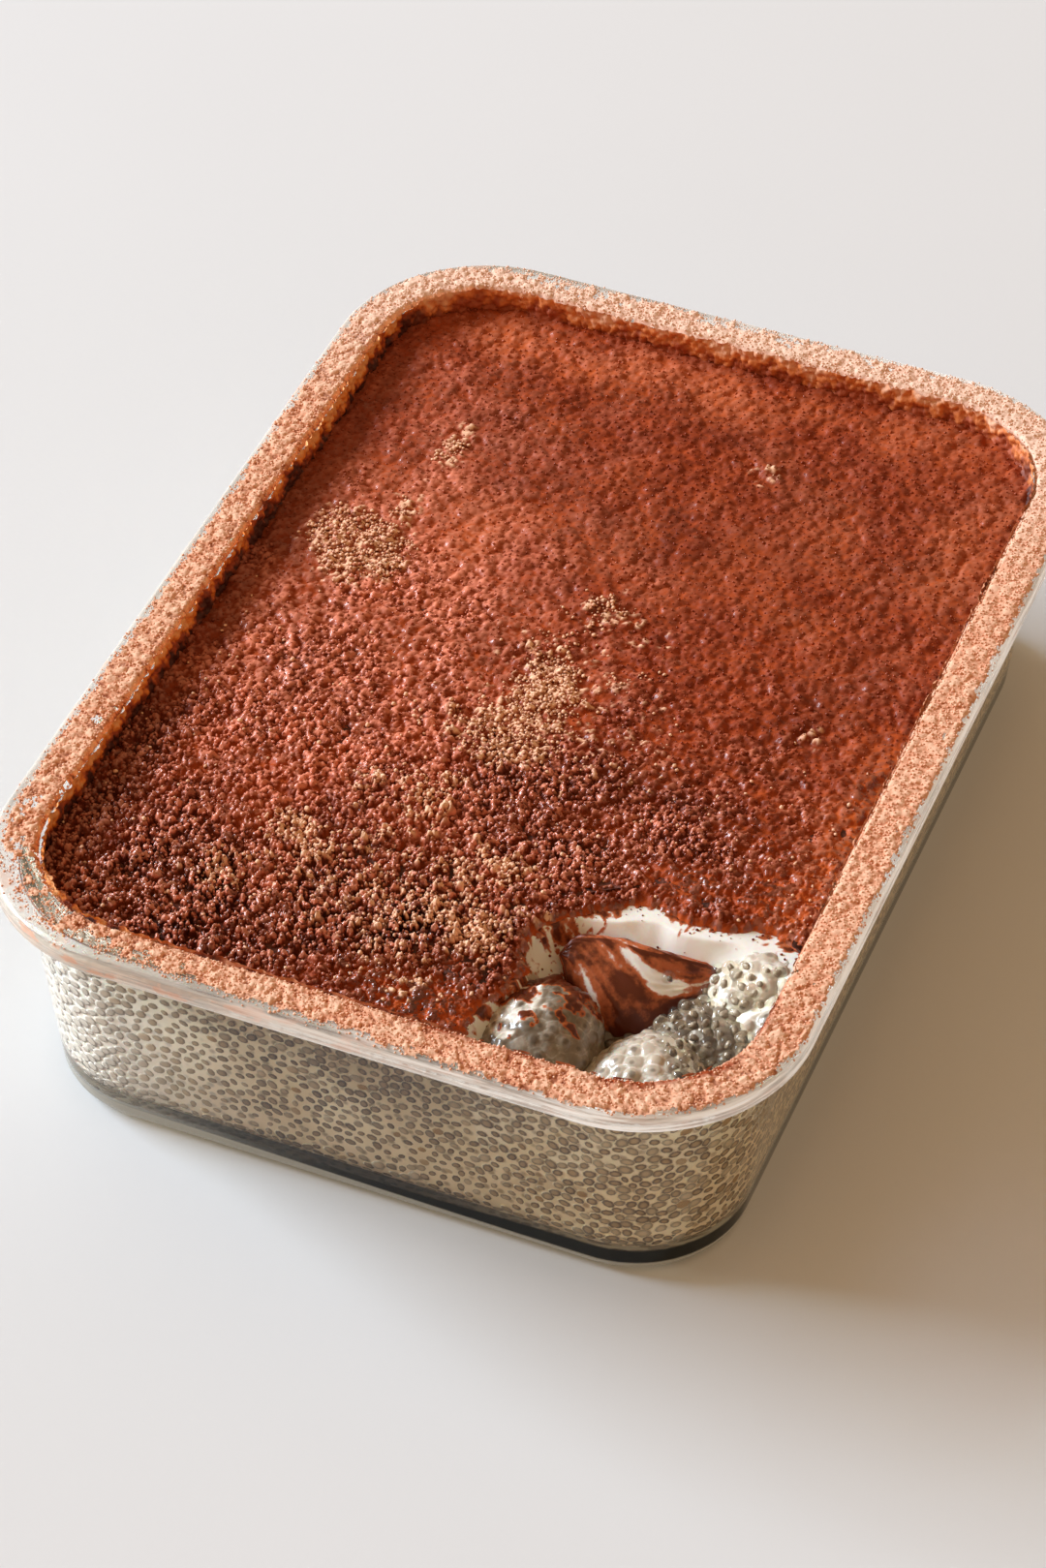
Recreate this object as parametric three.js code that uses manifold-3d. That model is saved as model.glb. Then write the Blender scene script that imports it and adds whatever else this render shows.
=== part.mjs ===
// Chia pudding in its rectangular glass dish: dark pudding, a white cream layer and a cocoa crust,
// with one spoonful taken out of the front right corner. Millimetres, +Z up, the origin at the middle
// of the dish's underside, the long side along Y, the spooned corner at +X -Y.
import * as THREE from "three";
import { mergeVertices } from "three/addons/utils/BufferGeometryUtils.js";
import Module from "manifold-3d";

const wasm = await Module();
wasm.setup();

// Driving dimensions.
const GAP = 0.3; // between pieces that touch
const dish = {
  width: 150,
  length: 207.6,
  height: 51.6,
  cornerRadius: 31,
  rimWidth: 8.4, // from the outer edge to the inner edge
  rimThickness: 4.7,
  rimRound: 1.7, // on the outer top edge
  lipRound: 1, // on the inner edge, and under the rim
  neckInset: 5.5, // outer wall, just under the rim
  footInset: 9.9, // outer wall, at the bottom
  footRound: 3.4,
  wall: 3,
  floor: 4.6,
  innerRound: 5, // between the wall and the floor inside
};
const level = {
  pudding: 40.9, // top of the pudding
  cream: 45.2, // top of the cream
  cocoa: 46.6, // top of the cocoa
};
const CORNER_DIVISIONS = 4; // half the steps of a quarter circle, seen from above
const ROUND_STEPS = 3; // steps of a quarter circle, seen from the side
const SIDE_STEPS = 4; // along each straight side of the food
const HEAP_DETAIL = 4; // facets of the spooned lumps

// The spoon's hollow: its outline on the crust, its lowest point and its depth.
const scoop = {
  outline: [
    [20.5, -67],
    [22.5, -75],
    [19.5, -83],
    [19, -93],
    [31, -100],
    [49, -101],
    [66, -98],
    [73, -83],
    [72, -62],
    [66, -51.5],
    [57, -49],
    [50, -50.6],
    [44.5, -51.5],
    [39, -49.6],
    [32, -52],
    [25, -58],
  ],
  middle: new THREE.Vector2(42, -72),
  depth: 18.5,
  slope: 2, // how evenly the sides fall to the bottom
  rimSlope: 0.16, // how far the hollow widens above the crust
  cling: 3.2, // pudding left on the glass
  steps: 6,
};

// What stands in the hollow, each a rounded heap: middle, half sizes, roughness and where its bumps start.
const heaps = {
  fallen_lump: { middle: [28.5, -80.5, 36], half: [10.8, 13, 10.2], bumps: 0.055, phase: 0.4 },
  chia_mound: { middle: [51, -85, 33], half: [12, 12, 8.8], bumps: 0.06, phase: 2.1 },
  cream_blob: { middle: [59, -57.5, 37.5], half: [8.2, 8.2, 6.8], bumps: 0.07, phase: 3.3 },
  seed_cluster: { middle: [56, -70, 33.5], half: [10.5, 10, 7.6], bumps: 0.08, phase: 5.2 },
};

// The folded cream: its upper and lower edge, each a bow through three points, and its thickness.
const fold = {
  upper: [
    [26.5, -64.5, 43.2],
    [37, -56.5, 41.8],
    [50.5, -54.8, 38.6],
  ],
  lower: [
    [32, -71, 38.2],
    [39.5, -71.5, 31],
    [47.5, -64, 33.6],
  ],
  bulge: 1.6,
  thickness: 3.2,
  lengthSteps: 10,
  depthSteps: 5,
};

// Points round a rectangle with round corners, moved inwards by inset. The count is the same at any inset.
function outline(inset, sideSteps) {
  const radius = dish.cornerRadius - inset;
  const x = dish.width / 2 - dish.cornerRadius;
  const y = dish.length / 2 - dish.cornerRadius;
  const path = new THREE.Path();
  const corners = [
    [x, -y],
    [x, y],
    [-x, y],
    [-x, -y],
  ];
  corners.forEach(([cx, cy], i) => {
    const start = ((i - 1) * Math.PI) / 2;
    path.absarc(cx, cy, radius, start, start + Math.PI / 2, false);
  });
  path.closePath();
  const points = path.getPoints(CORNER_DIVISIONS);
  points.pop();
  // A straight side is the step that starts each corner's last point.
  const perCorner = points.length / corners.length;
  return points.flatMap((point, i) => {
    if (i % perCorner !== perCorner - 1) return [point];
    const next = points[(i + 1) % points.length];
    return Array.from({ length: sideSteps }, (_, k) => point.clone().lerp(next, k / sideSteps));
  });
}

// A closed surface through rings with equal counts, each a list of Vector3 that runs anticlockwise from
// above. The rings go from the underside's middle outwards and up, and then inwards over the top.
function ringSolid(rings) {
  const count = rings[0].length;
  const positions = rings.flat().flatMap((p) => [p.x, p.y, p.z]);
  const index = [];
  for (let r = 0; r < rings.length - 1; r++) {
    for (let i = 0; i < count; i++) {
      const a = r * count + i;
      const b = r * count + ((i + 1) % count);
      index.push(a, b, b + count, a, b + count, a + count);
    }
  }
  const cap = (ring, first, flip) => {
    const flat = ring.map((p) => new THREE.Vector2(p.x, p.y));
    THREE.ShapeUtils.triangulateShape(flat, []).forEach(([a, b, c]) => {
      index.push(first + a, first + (flip ? c : b), first + (flip ? b : c));
    });
  };
  cap(rings[0], 0, true);
  cap(rings[rings.length - 1], (rings.length - 1) * count, false);
  const geometry = new THREE.BufferGeometry();
  geometry.setAttribute("position", new THREE.Float32BufferAttribute(positions, 3));
  geometry.setIndex(index);
  return geometry;
}

// The rings of a profile of (inset, height) points that runs round the dish.
function profileRings(profile, sideSteps) {
  return profile.map(({ x: inset, y: z }) =>
    outline(inset, sideSteps).map((p) => new THREE.Vector3(p.x, p.y, z)),
  );
}

// A quarter circle of a profile, from one angle to the other, in (inset, height).
function quarter(inset, z, radius, from, to) {
  return new THREE.EllipseCurve(inset, z, radius, radius, from, to, to < from).getPoints(ROUND_STEPS);
}

// The inside face's inset at a height.
function innerInset(z) {
  const run = dish.footInset + dish.wall - dish.rimWidth;
  return dish.rimWidth + (run * (dish.height - z)) / (dish.height - dish.floor);
}

// How far the food's surfaces rise and fall: slow swells, and a slight dip beside the wall.
function swell(x, y, inset) {
  const waves = 0.16 * Math.sin(x / 15 + 1.1) * Math.cos(y / 21) + 0.12 * Math.sin((x + y) / 9);
  return waves - 0.3 * Math.exp(-(inset - dish.rimWidth) / 2.5);
}

// A solid with a geometry's shape, and back again.
function toSolid(geometry) {
  const bare = geometry.clone();
  bare.deleteAttribute("normal");
  bare.deleteAttribute("uv");
  const merged = mergeVertices(bare, 1e-4);
  return new wasm.Manifold(
    new wasm.Mesh({
      numProp: 3,
      vertProperties: new Float32Array(merged.attributes.position.array),
      triVerts: new Uint32Array(merged.index.array),
    }),
  );
}

function toGeometry(solid) {
  const mesh = solid.getMesh();
  const geometry = new THREE.BufferGeometry();
  geometry.setAttribute("position", new THREE.BufferAttribute(mesh.vertProperties, mesh.numProp));
  geometry.setIndex(new THREE.BufferAttribute(mesh.triVerts, 1));
  geometry.computeVertexNormals();
  return geometry;
}

// The largest body of a solid: a cut can leave crumbs beside it.
function largest(solid) {
  return solid.decompose().reduce((a, b) => (b.volume() > a.volume() ? b : a));
}

// The glass dish: one wall with a flat rim turned outwards, a round foot and a thick floor.
function dishGeometry() {
  const { height, rimWidth, rimThickness, rimRound, lipRound, neckInset } = dish;
  const { footInset, footRound, floor, innerRound } = dish;
  const under = height - rimThickness;
  const half = Math.PI / 2;
  const innerFoot = innerInset(floor + innerRound);
  const profile = [
    ...quarter(footInset + footRound, footRound, footRound, 3 * half, 2 * half),
    ...quarter(neckInset - lipRound, under - lipRound, lipRound, 0, half),
    ...quarter(lipRound, under + lipRound, lipRound, 3 * half, 2 * half),
    ...quarter(rimRound, height - rimRound, rimRound, 2 * half, half),
    ...quarter(rimWidth - lipRound, height - lipRound, lipRound, half, 0),
    ...quarter(innerFoot + innerRound, floor + innerRound, innerRound, 2 * half, 3 * half),
  ];
  return ringSolid(profileRings(profile, 1));
}

// The rings of an uneven top or underside, from the wall to near the middle.
function surfaceRings(z, wallInset) {
  const insets = [0, 3, 9, 21, 45].map((step) => wallInset + step);
  const innerMost = dish.cornerRadius - 1;
  return insets.map((inset) => {
    const corner = Math.min(inset, innerMost);
    const squeeze = inset - corner; // past the corner radius, the rectangle only shrinks
    const sx = 1 - squeeze / (dish.width / 2 - corner);
    const sy = 1 - squeeze / (dish.length / 2 - corner);
    return outline(corner, SIDE_STEPS).map((p) => {
      const x = p.x * sx;
      const y = p.y * sy;
      return new THREE.Vector3(x, y, z + swell(x, y, inset));
    });
  });
}

// A layer of the food that reaches the glass all round, from one level to another.
function layerSolid(bottom, top) {
  const rings = [
    ...surfaceRings(bottom, innerInset(bottom) + GAP).reverse(),
    ...surfaceRings(top, innerInset(top) + GAP),
  ];
  return toSolid(ringSolid(rings));
}

// The pudding itself, which fills the dish from its floor.
function puddingSolid() {
  const foot = dish.floor + dish.innerRound;
  const round = dish.innerRound - GAP;
  const inset = innerInset(foot) + GAP + round;
  const side = quarter(inset, foot, round, 1.5 * Math.PI, Math.PI);
  const rings = [
    ...profileRings(side, SIDE_STEPS),
    ...surfaceRings(level.pudding, innerInset(level.pudding) + GAP),
  ];
  return toSolid(ringSolid(rings));
}

// The room inside the dish up to its rim, so far clear of the glass.
function roomSolid(clear) {
  const foot = dish.floor + dish.innerRound;
  const profile = [foot, dish.height].map((z) => new THREE.Vector2(innerInset(z) + clear, z));
  return toSolid(ringSolid(profileRings(profile, 1)));
}

// The hollow that the spoon left: the outline on the crust, narrowing to the bottom like a bowl.
function scoopSolid() {
  const points = scoop.outline.map(([x, y]) => new THREE.Vector3(x, y, 0));
  const edge = new THREE.CatmullRomCurve3(points, true, "centripetal").getPoints(points.length * 2);
  edge.pop();
  const ringAt = (scale, z) =>
    edge.map((p) => {
      const out = scoop.middle.clone().lerp(new THREE.Vector2(p.x, p.y), scale);
      return new THREE.Vector3(out.x, out.y, z);
    });
  const bowl = Array.from({ length: scoop.steps + 1 }, (_, k) => {
    const angle = ((k + 1) / (scoop.steps + 1)) * (Math.PI / 2);
    return ringAt(Math.sin(angle) ** scoop.slope, level.cocoa - scoop.depth * Math.cos(angle));
  });
  bowl.push(ringAt(1 + scoop.rimSlope, dish.height));
  return toSolid(ringSolid(bowl));
}

// A rounded heap with a bumpy skin, made larger all round by grow.
function heapSolid({ middle, half, bumps, phase }, grow) {
  const geometry = new THREE.IcosahedronGeometry(1, HEAP_DETAIL);
  geometry.deleteAttribute("normal");
  geometry.deleteAttribute("uv");
  const ball = mergeVertices(geometry, 1e-4);
  const place = ball.attributes.position;
  const size = new THREE.Vector3(...half);
  const at = new THREE.Vector3();
  for (let i = 0; i < place.count; i++) {
    at.fromBufferAttribute(place, i);
    const slow = Math.sin(3.1 * at.x + phase) * Math.cos(2.7 * at.y - phase) + Math.sin(3.7 * at.z + phase);
    const quick = Math.sin(9 * at.x - phase) * Math.sin(8 * at.y + 2 * phase) * Math.cos(7 * at.z);
    const reach = 1 + bumps * (slow + quick);
    const grown = size.clone().addScalar(grow);
    at.multiply(grown).multiplyScalar(reach);
    place.setXYZ(i, at.x + middle[0], at.y + middle[1], at.z + middle[2]);
  }
  return toSolid(ball);
}

// The folded cream: a thick bowed sheet between its two edges, made larger all round by grow.
function foldSolid(grow) {
  const bow = (points) =>
    new THREE.QuadraticBezierCurve3(...points.map((p) => new THREE.Vector3(...p)));
  const upper = bow(fold.upper);
  const lower = bow(fold.lower);
  const stretch = grow / 12; // grow, as a share of the sheet's own length
  const surface = (u, v) => {
    const p = upper.getPoint(u).lerp(lower.getPoint(u), v);
    p.z += fold.bulge * Math.sin(Math.PI * v) * (0.7 + 0.3 * Math.sin(6 * u));
    return p;
  };
  const block = new THREE.BoxGeometry(1, 1, 1, fold.lengthSteps, fold.depthSteps, 1);
  const place = block.attributes.position;
  for (let i = 0; i < place.count; i++) {
    const u = (place.getX(i) + 0.5) * (1 + 2 * stretch) - stretch;
    const v = (0.5 - place.getY(i)) * (1 + 2 * stretch) - stretch;
    const taper = 0.35 + 0.65 * Math.sin(Math.PI * THREE.MathUtils.clamp(0.12 + 0.76 * v, 0, 1));
    const p = surface(u, v);
    p.z += place.getZ(i) * (fold.thickness * taper + 2 * grow);
    place.setXYZ(i, p.x, p.y, p.z);
  }
  return toSolid(block);
}

// The pieces in the hollow, each cut clear of the glass and of those before it, and each with the
// larger shape that the food around it is cut with.
function spoonedPieces() {
  const room = roomSolid(GAP);
  const shapes = Object.entries(heaps).map(([name, heap]) => [name, (grow) => heapSolid(heap, grow)]);
  shapes.push(["cream_fold", foldSolid]);
  const done = [];
  for (const [name, shape] of shapes) {
    let solid = shape(0).intersect(room);
    for (const piece of done) solid = solid.subtract(piece.grown);
    done.push({ name, solid: largest(solid), grown: shape(GAP) });
  }
  return done;
}

const looks = {
  dish: { color: 0xdfe8e2, roughness: 0.04, metalness: 0, transparent: true, opacity: 0.35 },
  chia_pudding: { color: 0x8f8573, roughness: 0.45, metalness: 0 },
  cream_layer: { color: 0xf3ece0, roughness: 0.4, metalness: 0 },
  cocoa_layer: { color: 0x6e2a18, roughness: 0.7, metalness: 0 },
  fallen_lump: { color: 0x6f6a60, roughness: 0.35, metalness: 0 },
  chia_mound: { color: 0x9a9282, roughness: 0.3, metalness: 0 },
  cream_blob: { color: 0xe6e0d2, roughness: 0.35, metalness: 0 },
  seed_cluster: { color: 0x77736a, roughness: 0.2, metalness: 0 },
  cream_fold: { color: 0xa3623c, roughness: 0.5, metalness: 0 },
};

const group = new THREE.Group();

function addPiece(name, geometry) {
  const mesh = new THREE.Mesh(geometry, new THREE.MeshStandardMaterial(looks[name]));
  mesh.name = name;
  group.add(mesh);
}

addPiece("dish", dishGeometry());

const spooned = spoonedPieces();
const hollow = scoopSolid();

// What is left of a solid once the spoon's hollow and the pieces in it are cut away.
function cutAway(solid, cutter) {
  const left = spooned.reduce((rest, piece) => rest.subtract(piece.grown), solid.subtract(cutter));
  return toGeometry(largest(left));
}

addPiece("chia_pudding", cutAway(puddingSolid(), hollow.intersect(roomSolid(scoop.cling))));
addPiece("cream_layer", cutAway(layerSolid(level.pudding + GAP, level.cream), hollow));
addPiece("cocoa_layer", cutAway(layerSolid(level.cream + GAP, level.cocoa), hollow));
for (const piece of spooned) addPiece(piece.name, toGeometry(piece.solid));

export default group;
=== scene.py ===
import math

import bpy
import numpy as np
from mathutils import Matrix, Vector


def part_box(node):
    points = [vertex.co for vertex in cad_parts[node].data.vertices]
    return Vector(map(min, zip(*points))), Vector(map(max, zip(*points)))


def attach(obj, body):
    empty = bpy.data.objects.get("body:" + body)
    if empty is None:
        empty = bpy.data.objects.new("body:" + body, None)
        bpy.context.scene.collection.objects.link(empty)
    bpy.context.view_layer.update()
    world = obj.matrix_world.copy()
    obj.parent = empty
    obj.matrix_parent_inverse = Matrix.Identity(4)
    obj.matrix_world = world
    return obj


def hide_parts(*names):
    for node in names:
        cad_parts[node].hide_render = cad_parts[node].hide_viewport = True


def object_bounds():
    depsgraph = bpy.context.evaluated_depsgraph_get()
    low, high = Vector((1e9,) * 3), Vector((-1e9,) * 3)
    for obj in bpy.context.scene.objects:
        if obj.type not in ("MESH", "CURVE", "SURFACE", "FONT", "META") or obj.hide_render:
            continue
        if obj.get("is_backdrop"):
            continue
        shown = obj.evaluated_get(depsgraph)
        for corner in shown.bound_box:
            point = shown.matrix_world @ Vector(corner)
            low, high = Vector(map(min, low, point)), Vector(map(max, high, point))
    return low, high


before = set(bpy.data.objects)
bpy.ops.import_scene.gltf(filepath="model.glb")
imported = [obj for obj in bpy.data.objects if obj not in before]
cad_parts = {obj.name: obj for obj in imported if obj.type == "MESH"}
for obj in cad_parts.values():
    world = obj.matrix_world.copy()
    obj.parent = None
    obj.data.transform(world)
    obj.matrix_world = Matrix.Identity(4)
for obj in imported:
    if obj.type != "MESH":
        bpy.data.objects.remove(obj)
cadLow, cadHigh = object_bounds()
mm = 0.001
scene = bpy.context.scene

dishLow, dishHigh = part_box("dish")

# The dish in millimetres: its overall size is the frame's, its wall as the solid has it.
dish = {
    "width": (dishHigh.x - dishLow.x) / mm,
    "length": (dishHigh.y - dishLow.y) / mm,
    "height": dishHigh.z / mm,
    "cornerRadius": 31.0,
    "cornerSteps": 20,
    "rimWidth": 8.4,
    "rimThickness": 4.7,
    "rimRound": 1.7,
    "lipRound": 1.0,
    "neckInset": 5.5,
    "footInset": 9.9,
    "footRound": 3.4,
    "wall": 3.0,
    "floor": 4.6,
    "innerRound": 5.0,
    "dustRoom": 0.8,  # how far the glass stays under the top, where the dust lies
}

# Levels and how far the food reaches into the glass, so that no air shows between them.
food = {
    "crust": 46.6,
    "cream": 45.2,
    "pudding": 40.9,
    "reach": 0.2,
}

# The spooned hollow: its outline on the crust, seen from above, its middle and its depth.
hollow = {
    "outline": [
        (20.5, -67), (22.5, -75), (19.5, -83), (19, -93), (31, -100), (49, -101), (66, -98), (73, -83),
        (72, -62), (66, -51.5), (57, -49), (50, -50.6), (44.5, -51.5), (39, -49.6), (32, -52), (25, -58),
    ],
    "middle": (42.0, -72.0),
    "depth": 18.5,
}


# Shader building
class Wire:
    # a node's output that takes part in sums with numbers and with other wires
    def __init__(self, finish, socket):
        self.finish = finish
        self.socket = socket

    def __add__(self, other):
        return self.finish.maths("ADD", self, other)

    __radd__ = __add__

    def __mul__(self, other):
        return self.finish.maths("MULTIPLY", self, other)

    __rmul__ = __mul__

    def __sub__(self, other):
        return self.finish.maths("SUBTRACT", self, other)

    def __rsub__(self, other):
        return self.finish.maths("SUBTRACT", other, self)


class Finish:
    # one material with a Principled shader, and short ways to add nodes to it
    def __init__(self, name, **constants):
        self.material = bpy.data.materials.new(name)
        self.material.use_nodes = True
        self.tree = self.material.node_tree
        self.tree.nodes.clear()
        self.shader = self.tree.nodes.new("ShaderNodeBsdfPrincipled")
        self.output = self.tree.nodes.new("ShaderNodeOutputMaterial")
        self.show(Wire(self, self.shader.outputs[0]))
        self.set(**constants)

    def show(self, surface):
        self.surface = surface
        self.tree.links.new(surface.socket, self.output.inputs["Surface"])

    def node(self, kind, settings=None, sockets=None, output=0):
        made = self.tree.nodes.new(kind)
        for key, value in (settings or {}).items():
            if key == "stops":
                self.fillRamp(made.color_ramp, value)
            else:
                setattr(made, key, value)
        for key, value in (sockets or {}).items():
            self.feed(made.inputs[key], value)
        return Wire(self, made.outputs[output])

    def fillRamp(self, ramp, stops):
        while len(ramp.elements) < len(stops):
            ramp.elements.new(0.5)
        for element, (place, colour) in zip(ramp.elements, stops):
            element.position = place
            element.color = tuple(colour) + (1.0,)

    def feed(self, socket, value):
        if isinstance(value, Wire):
            self.tree.links.new(value.socket, socket)
        elif isinstance(value, (tuple, list)) and socket.type == "RGBA":
            socket.default_value = tuple(value) + (1.0,)
        else:
            socket.default_value = value

    def set(self, **sockets):
        for socket, value in sockets.items():
            self.feed(self.shader.inputs[socket.replace("_", " ")], value)

    def maths(self, operation, first, second=0.0):
        return self.node("ShaderNodeMath", {"operation": operation}, {0: first, 1: second})

    def between(self, value, low, high):
        # 0 at low, 1 at high, and smooth in between
        sockets = {"Value": value, "From Min": low, "From Max": high}
        return self.node("ShaderNodeMapRange", {"interpolation_type": "SMOOTHSTEP"}, sockets)

    def blend(self, amount, first, second):
        return self.node("ShaderNodeMix", {"data_type": "RGBA"}, {0: amount, 6: first, 7: second}, output=2)

    def over(self, colour, *layers):
        # colours laid one after another over the first, each by its own amount
        for amount, laid in layers:
            colour = self.blend(amount, colour, laid)
        return colour

    def ramp(self, value, stops):
        return self.node("ShaderNodeValToRGB", {"stops": stops}, {"Fac": value})

    def attribute(self, name):
        return self.node("ShaderNodeAttribute", {"attribute_name": name}, output=2)

    def place(self, squash=None):
        where = self.node("ShaderNodeTexCoord", output=3)
        if squash:
            where = self.node("ShaderNodeMapping", None, {"Vector": where, "Scale": squash})
        return where

    def along(self, axis):
        # millimetres along X, Y or Z
        split = self.node("ShaderNodeSeparateXYZ", None, {0: self.place()}, output="XYZ".index(axis))
        return split * (1 / mm)

    def noise(self, size, detail=3.0, rough=0.5, squash=None):
        # cloudy noise with blobs about size millimetres across
        sockets = {"Scale": 1 / (size * mm), "Detail": detail, "Roughness": rough}
        return self.node("ShaderNodeTexNoise", None, {"Vector": self.place(squash), **sockets})

    def stir(self, amount, size, detail=3.0, rough=0.5):
        # noise to either side of 0, which makes a value's edges ragged
        return (self.noise(size, detail, rough) - 0.5) * amount

    def patches(self, size, low, high, detail=3.0, rough=0.5):
        # patches of 0 and of 1, with soft edges
        return self.between(self.noise(size, detail, rough), low, high)

    def near(self, middle, inner, outer):
        # 1 within inner millimetres of a place, fading to 0 at outer
        sockets = {0: self.place(), 1: tuple(c * mm for c in middle)}
        away = self.node("ShaderNodeVectorMath", {"operation": "DISTANCE"}, sockets, output=1)
        return self.between(away, outer * mm, inner * mm)

    def cells(self, size):
        return self.node("ShaderNodeTexVoronoi", None, {"Vector": self.place(), "Scale": 1 / (size * mm)})

    def bump(self, height, depth, strength=1.0):
        sockets = {"Height": height, "Distance": depth * mm, "Strength": strength}
        return self.node("ShaderNodeBump", None, sockets)

    def letLampsThrough(self, tint, thick=None, thickTint=None):
        # clear things pass the lamps' light on, tinted, in place of a hard shadow; less where thick is 1
        shadowRay = self.node("ShaderNodeLightPath", output=1)
        clear = self.node("ShaderNodeBsdfTransparent", None, {"Color": tint})
        if thick:
            dimmer = self.node("ShaderNodeBsdfTransparent", None, {"Color": thickTint})
            clear = self.node("ShaderNodeMixShader", None, {0: thick, 1: clear, 2: dimmer})
        self.show(self.node("ShaderNodeMixShader", None, {0: shadowRay, 1: self.surface, 2: clear}))

    def layOver(self, amount, **constants):
        # a second finish over the first where amount is 1
        sockets = {key.replace("_", " "): value for key, value in constants.items()}
        second = self.node("ShaderNodeBsdfPrincipled", None, sockets)
        self.show(self.node("ShaderNodeMixShader", None, {0: amount, 1: self.surface, 2: second}))


# Mesh helpers
def deselectAll():
    if bpy.context.mode != "OBJECT":
        bpy.ops.object.mode_set(mode="OBJECT")
    bpy.ops.object.select_all(action="DESELECT")


def pick(piece):
    deselectAll()
    piece.select_set(True)
    bpy.context.view_layer.objects.active = piece


def editAll(piece):
    pick(piece)
    bpy.ops.object.mode_set(mode="EDIT")
    bpy.ops.mesh.select_all(action="SELECT")


def applyModifier(piece, kind, **settings):
    pick(piece)
    modifier = piece.modifiers.new(kind.title(), kind)
    for key, value in settings.items():
        setattr(modifier, key, value)
    bpy.ops.object.modifier_apply(modifier=modifier.name)


def finishPiece(piece, finish, replaced=()):
    # every piece rides on the one body, has its material, and may stand for solids
    piece.data.materials.clear()
    piece.data.materials.append(finish.material)
    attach(piece, "root")
    if replaced:
        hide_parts(*replaced)


def pieceFromArrays(name, places, faces, attributes=None):
    # places in millimetres; faces with three or four corners each; one number per corner for each attribute
    mesh = bpy.data.meshes.new(name)
    corners = faces.shape[1]
    mesh.vertices.add(len(places))
    mesh.vertices.foreach_set("co", (places * mm).astype(np.float32).ravel())
    mesh.loops.add(faces.size)
    mesh.loops.foreach_set("vertex_index", faces.astype(np.int32).ravel())
    mesh.polygons.add(len(faces))
    mesh.polygons.foreach_set("loop_start", np.arange(0, faces.size, corners, dtype=np.int32))
    mesh.polygons.foreach_set("loop_total", np.full(len(faces), corners, dtype=np.int32))
    mesh.polygons.foreach_set("use_smooth", np.full(len(faces), True))
    mesh.update(calc_edges=True)
    setAttributes(mesh, attributes or {})
    piece = bpy.data.objects.new(name, mesh)
    scene.collection.objects.link(piece)
    return piece


def gridFaces(rows, columns, keep):
    corner = np.arange(rows * columns).reshape(rows, columns)
    faces = np.stack([corner[:-1, :-1], corner[:-1, 1:], corner[1:, 1:], corner[1:, :-1]], axis=-1)
    solid = keep[:-1, :-1] & keep[:-1, 1:] & keep[1:, 1:] & keep[1:, :-1]
    return faces[solid]


def setAttributes(mesh, attributes):
    for key, values in attributes.items():
        layer = mesh.attributes.new(key, "FLOAT", "POINT")
        layer.data.foreach_set("value", np.asarray(values, dtype=np.float32))


def cornersOf(piece):
    places = np.empty(len(piece.data.vertices) * 3)
    piece.data.vertices.foreach_get("co", places)
    return places.reshape(-1, 3) / mm


def normalsOf(piece):
    normals = np.empty(len(piece.data.vertices) * 3)
    piece.data.vertices.foreach_get("normal", normals)
    return normals.reshape(-1, 3)


def moveCorners(piece, places):
    piece.data.vertices.foreach_set("co", (places * mm).ravel())
    piece.data.update()


def trianglesOf(piece):
    mesh = piece.data
    mesh.calc_loop_triangles()
    faces = np.empty(len(mesh.loop_triangles) * 3, dtype=np.int32)
    mesh.loop_triangles.foreach_get("vertices", faces)
    return faces.reshape(-1, 3)


def solidCopy(node, name):
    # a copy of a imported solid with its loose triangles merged
    piece = bpy.data.objects.new(name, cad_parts[node].data.copy())
    scene.collection.objects.link(piece)
    editAll(piece)
    bpy.ops.mesh.remove_doubles(threshold=0.001 * mm)
    bpy.ops.object.mode_set(mode="OBJECT")
    bpy.ops.object.shade_smooth_by_angle(angle=math.radians(35))
    deselectAll()
    return piece


def ballShape(rounds):
    # a unit ball, modelled once and then copied
    deselectAll()
    bpy.ops.mesh.primitive_ico_sphere_add(subdivisions=rounds, radius=mm)
    ball = bpy.context.object
    shape = cornersOf(ball), trianglesOf(ball)
    bpy.data.objects.remove(ball)
    return shape


def seedShape(around, shoulder=0.6, shoulderUp=0.72, back=-0.5):
    # a seed lying flat: a domed oval with a shallow back, and how far out each corner is
    deselectAll()
    bpy.ops.mesh.primitive_circle_add(vertices=around, radius=mm, fill_type="TRIFAN")
    seed = bpy.context.object
    outer = cornersOf(seed)
    bpy.data.objects.remove(seed)
    rim = outer[np.hypot(outer[:, 0], outer[:, 1]) > 0.5]
    rim = rim[np.argsort(np.arctan2(rim[:, 1], rim[:, 0]))]
    places = np.concatenate([[[0, 0, 1.0]], rim * shoulder + [0, 0, shoulderUp], rim, [[0, 0, back]]])
    faces = []
    for i in range(around):
        high, highNext = 1 + i, 1 + (i + 1) % around
        low, lowNext = high + around, highNext + around
        faces += [(0, high, highNext), (high, low, lowNext), (high, lowNext, highNext)]
        faces.append((lowNext, low, 2 * around + 1))
    radial = np.concatenate([[0], np.full(around, shoulder), np.ones(around), [1]])
    return places, np.array(faces), radial


def copies(shape, middles, sizes, turns, perCopy=None, perCorner=None):
    # one shape many times over, as one mesh's corners, faces and attributes
    places, faces = shape[:2]
    count = len(middles)
    local = places[None, :, :] * sizes[:, None, :]
    local = np.einsum("nij,nkj->nki", turns, local) + middles[:, None, :]
    allFaces = faces[None, :, :] + (np.arange(count) * len(places))[:, None, None]
    attributes = {key: np.repeat(values, len(places)) for key, values in (perCopy or {}).items()}
    for key, values in (perCorner or {}).items():
        attributes[key] = np.tile(values, count)
    return local.reshape(-1, 3), allFaces.reshape(-1, 3), attributes


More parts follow.
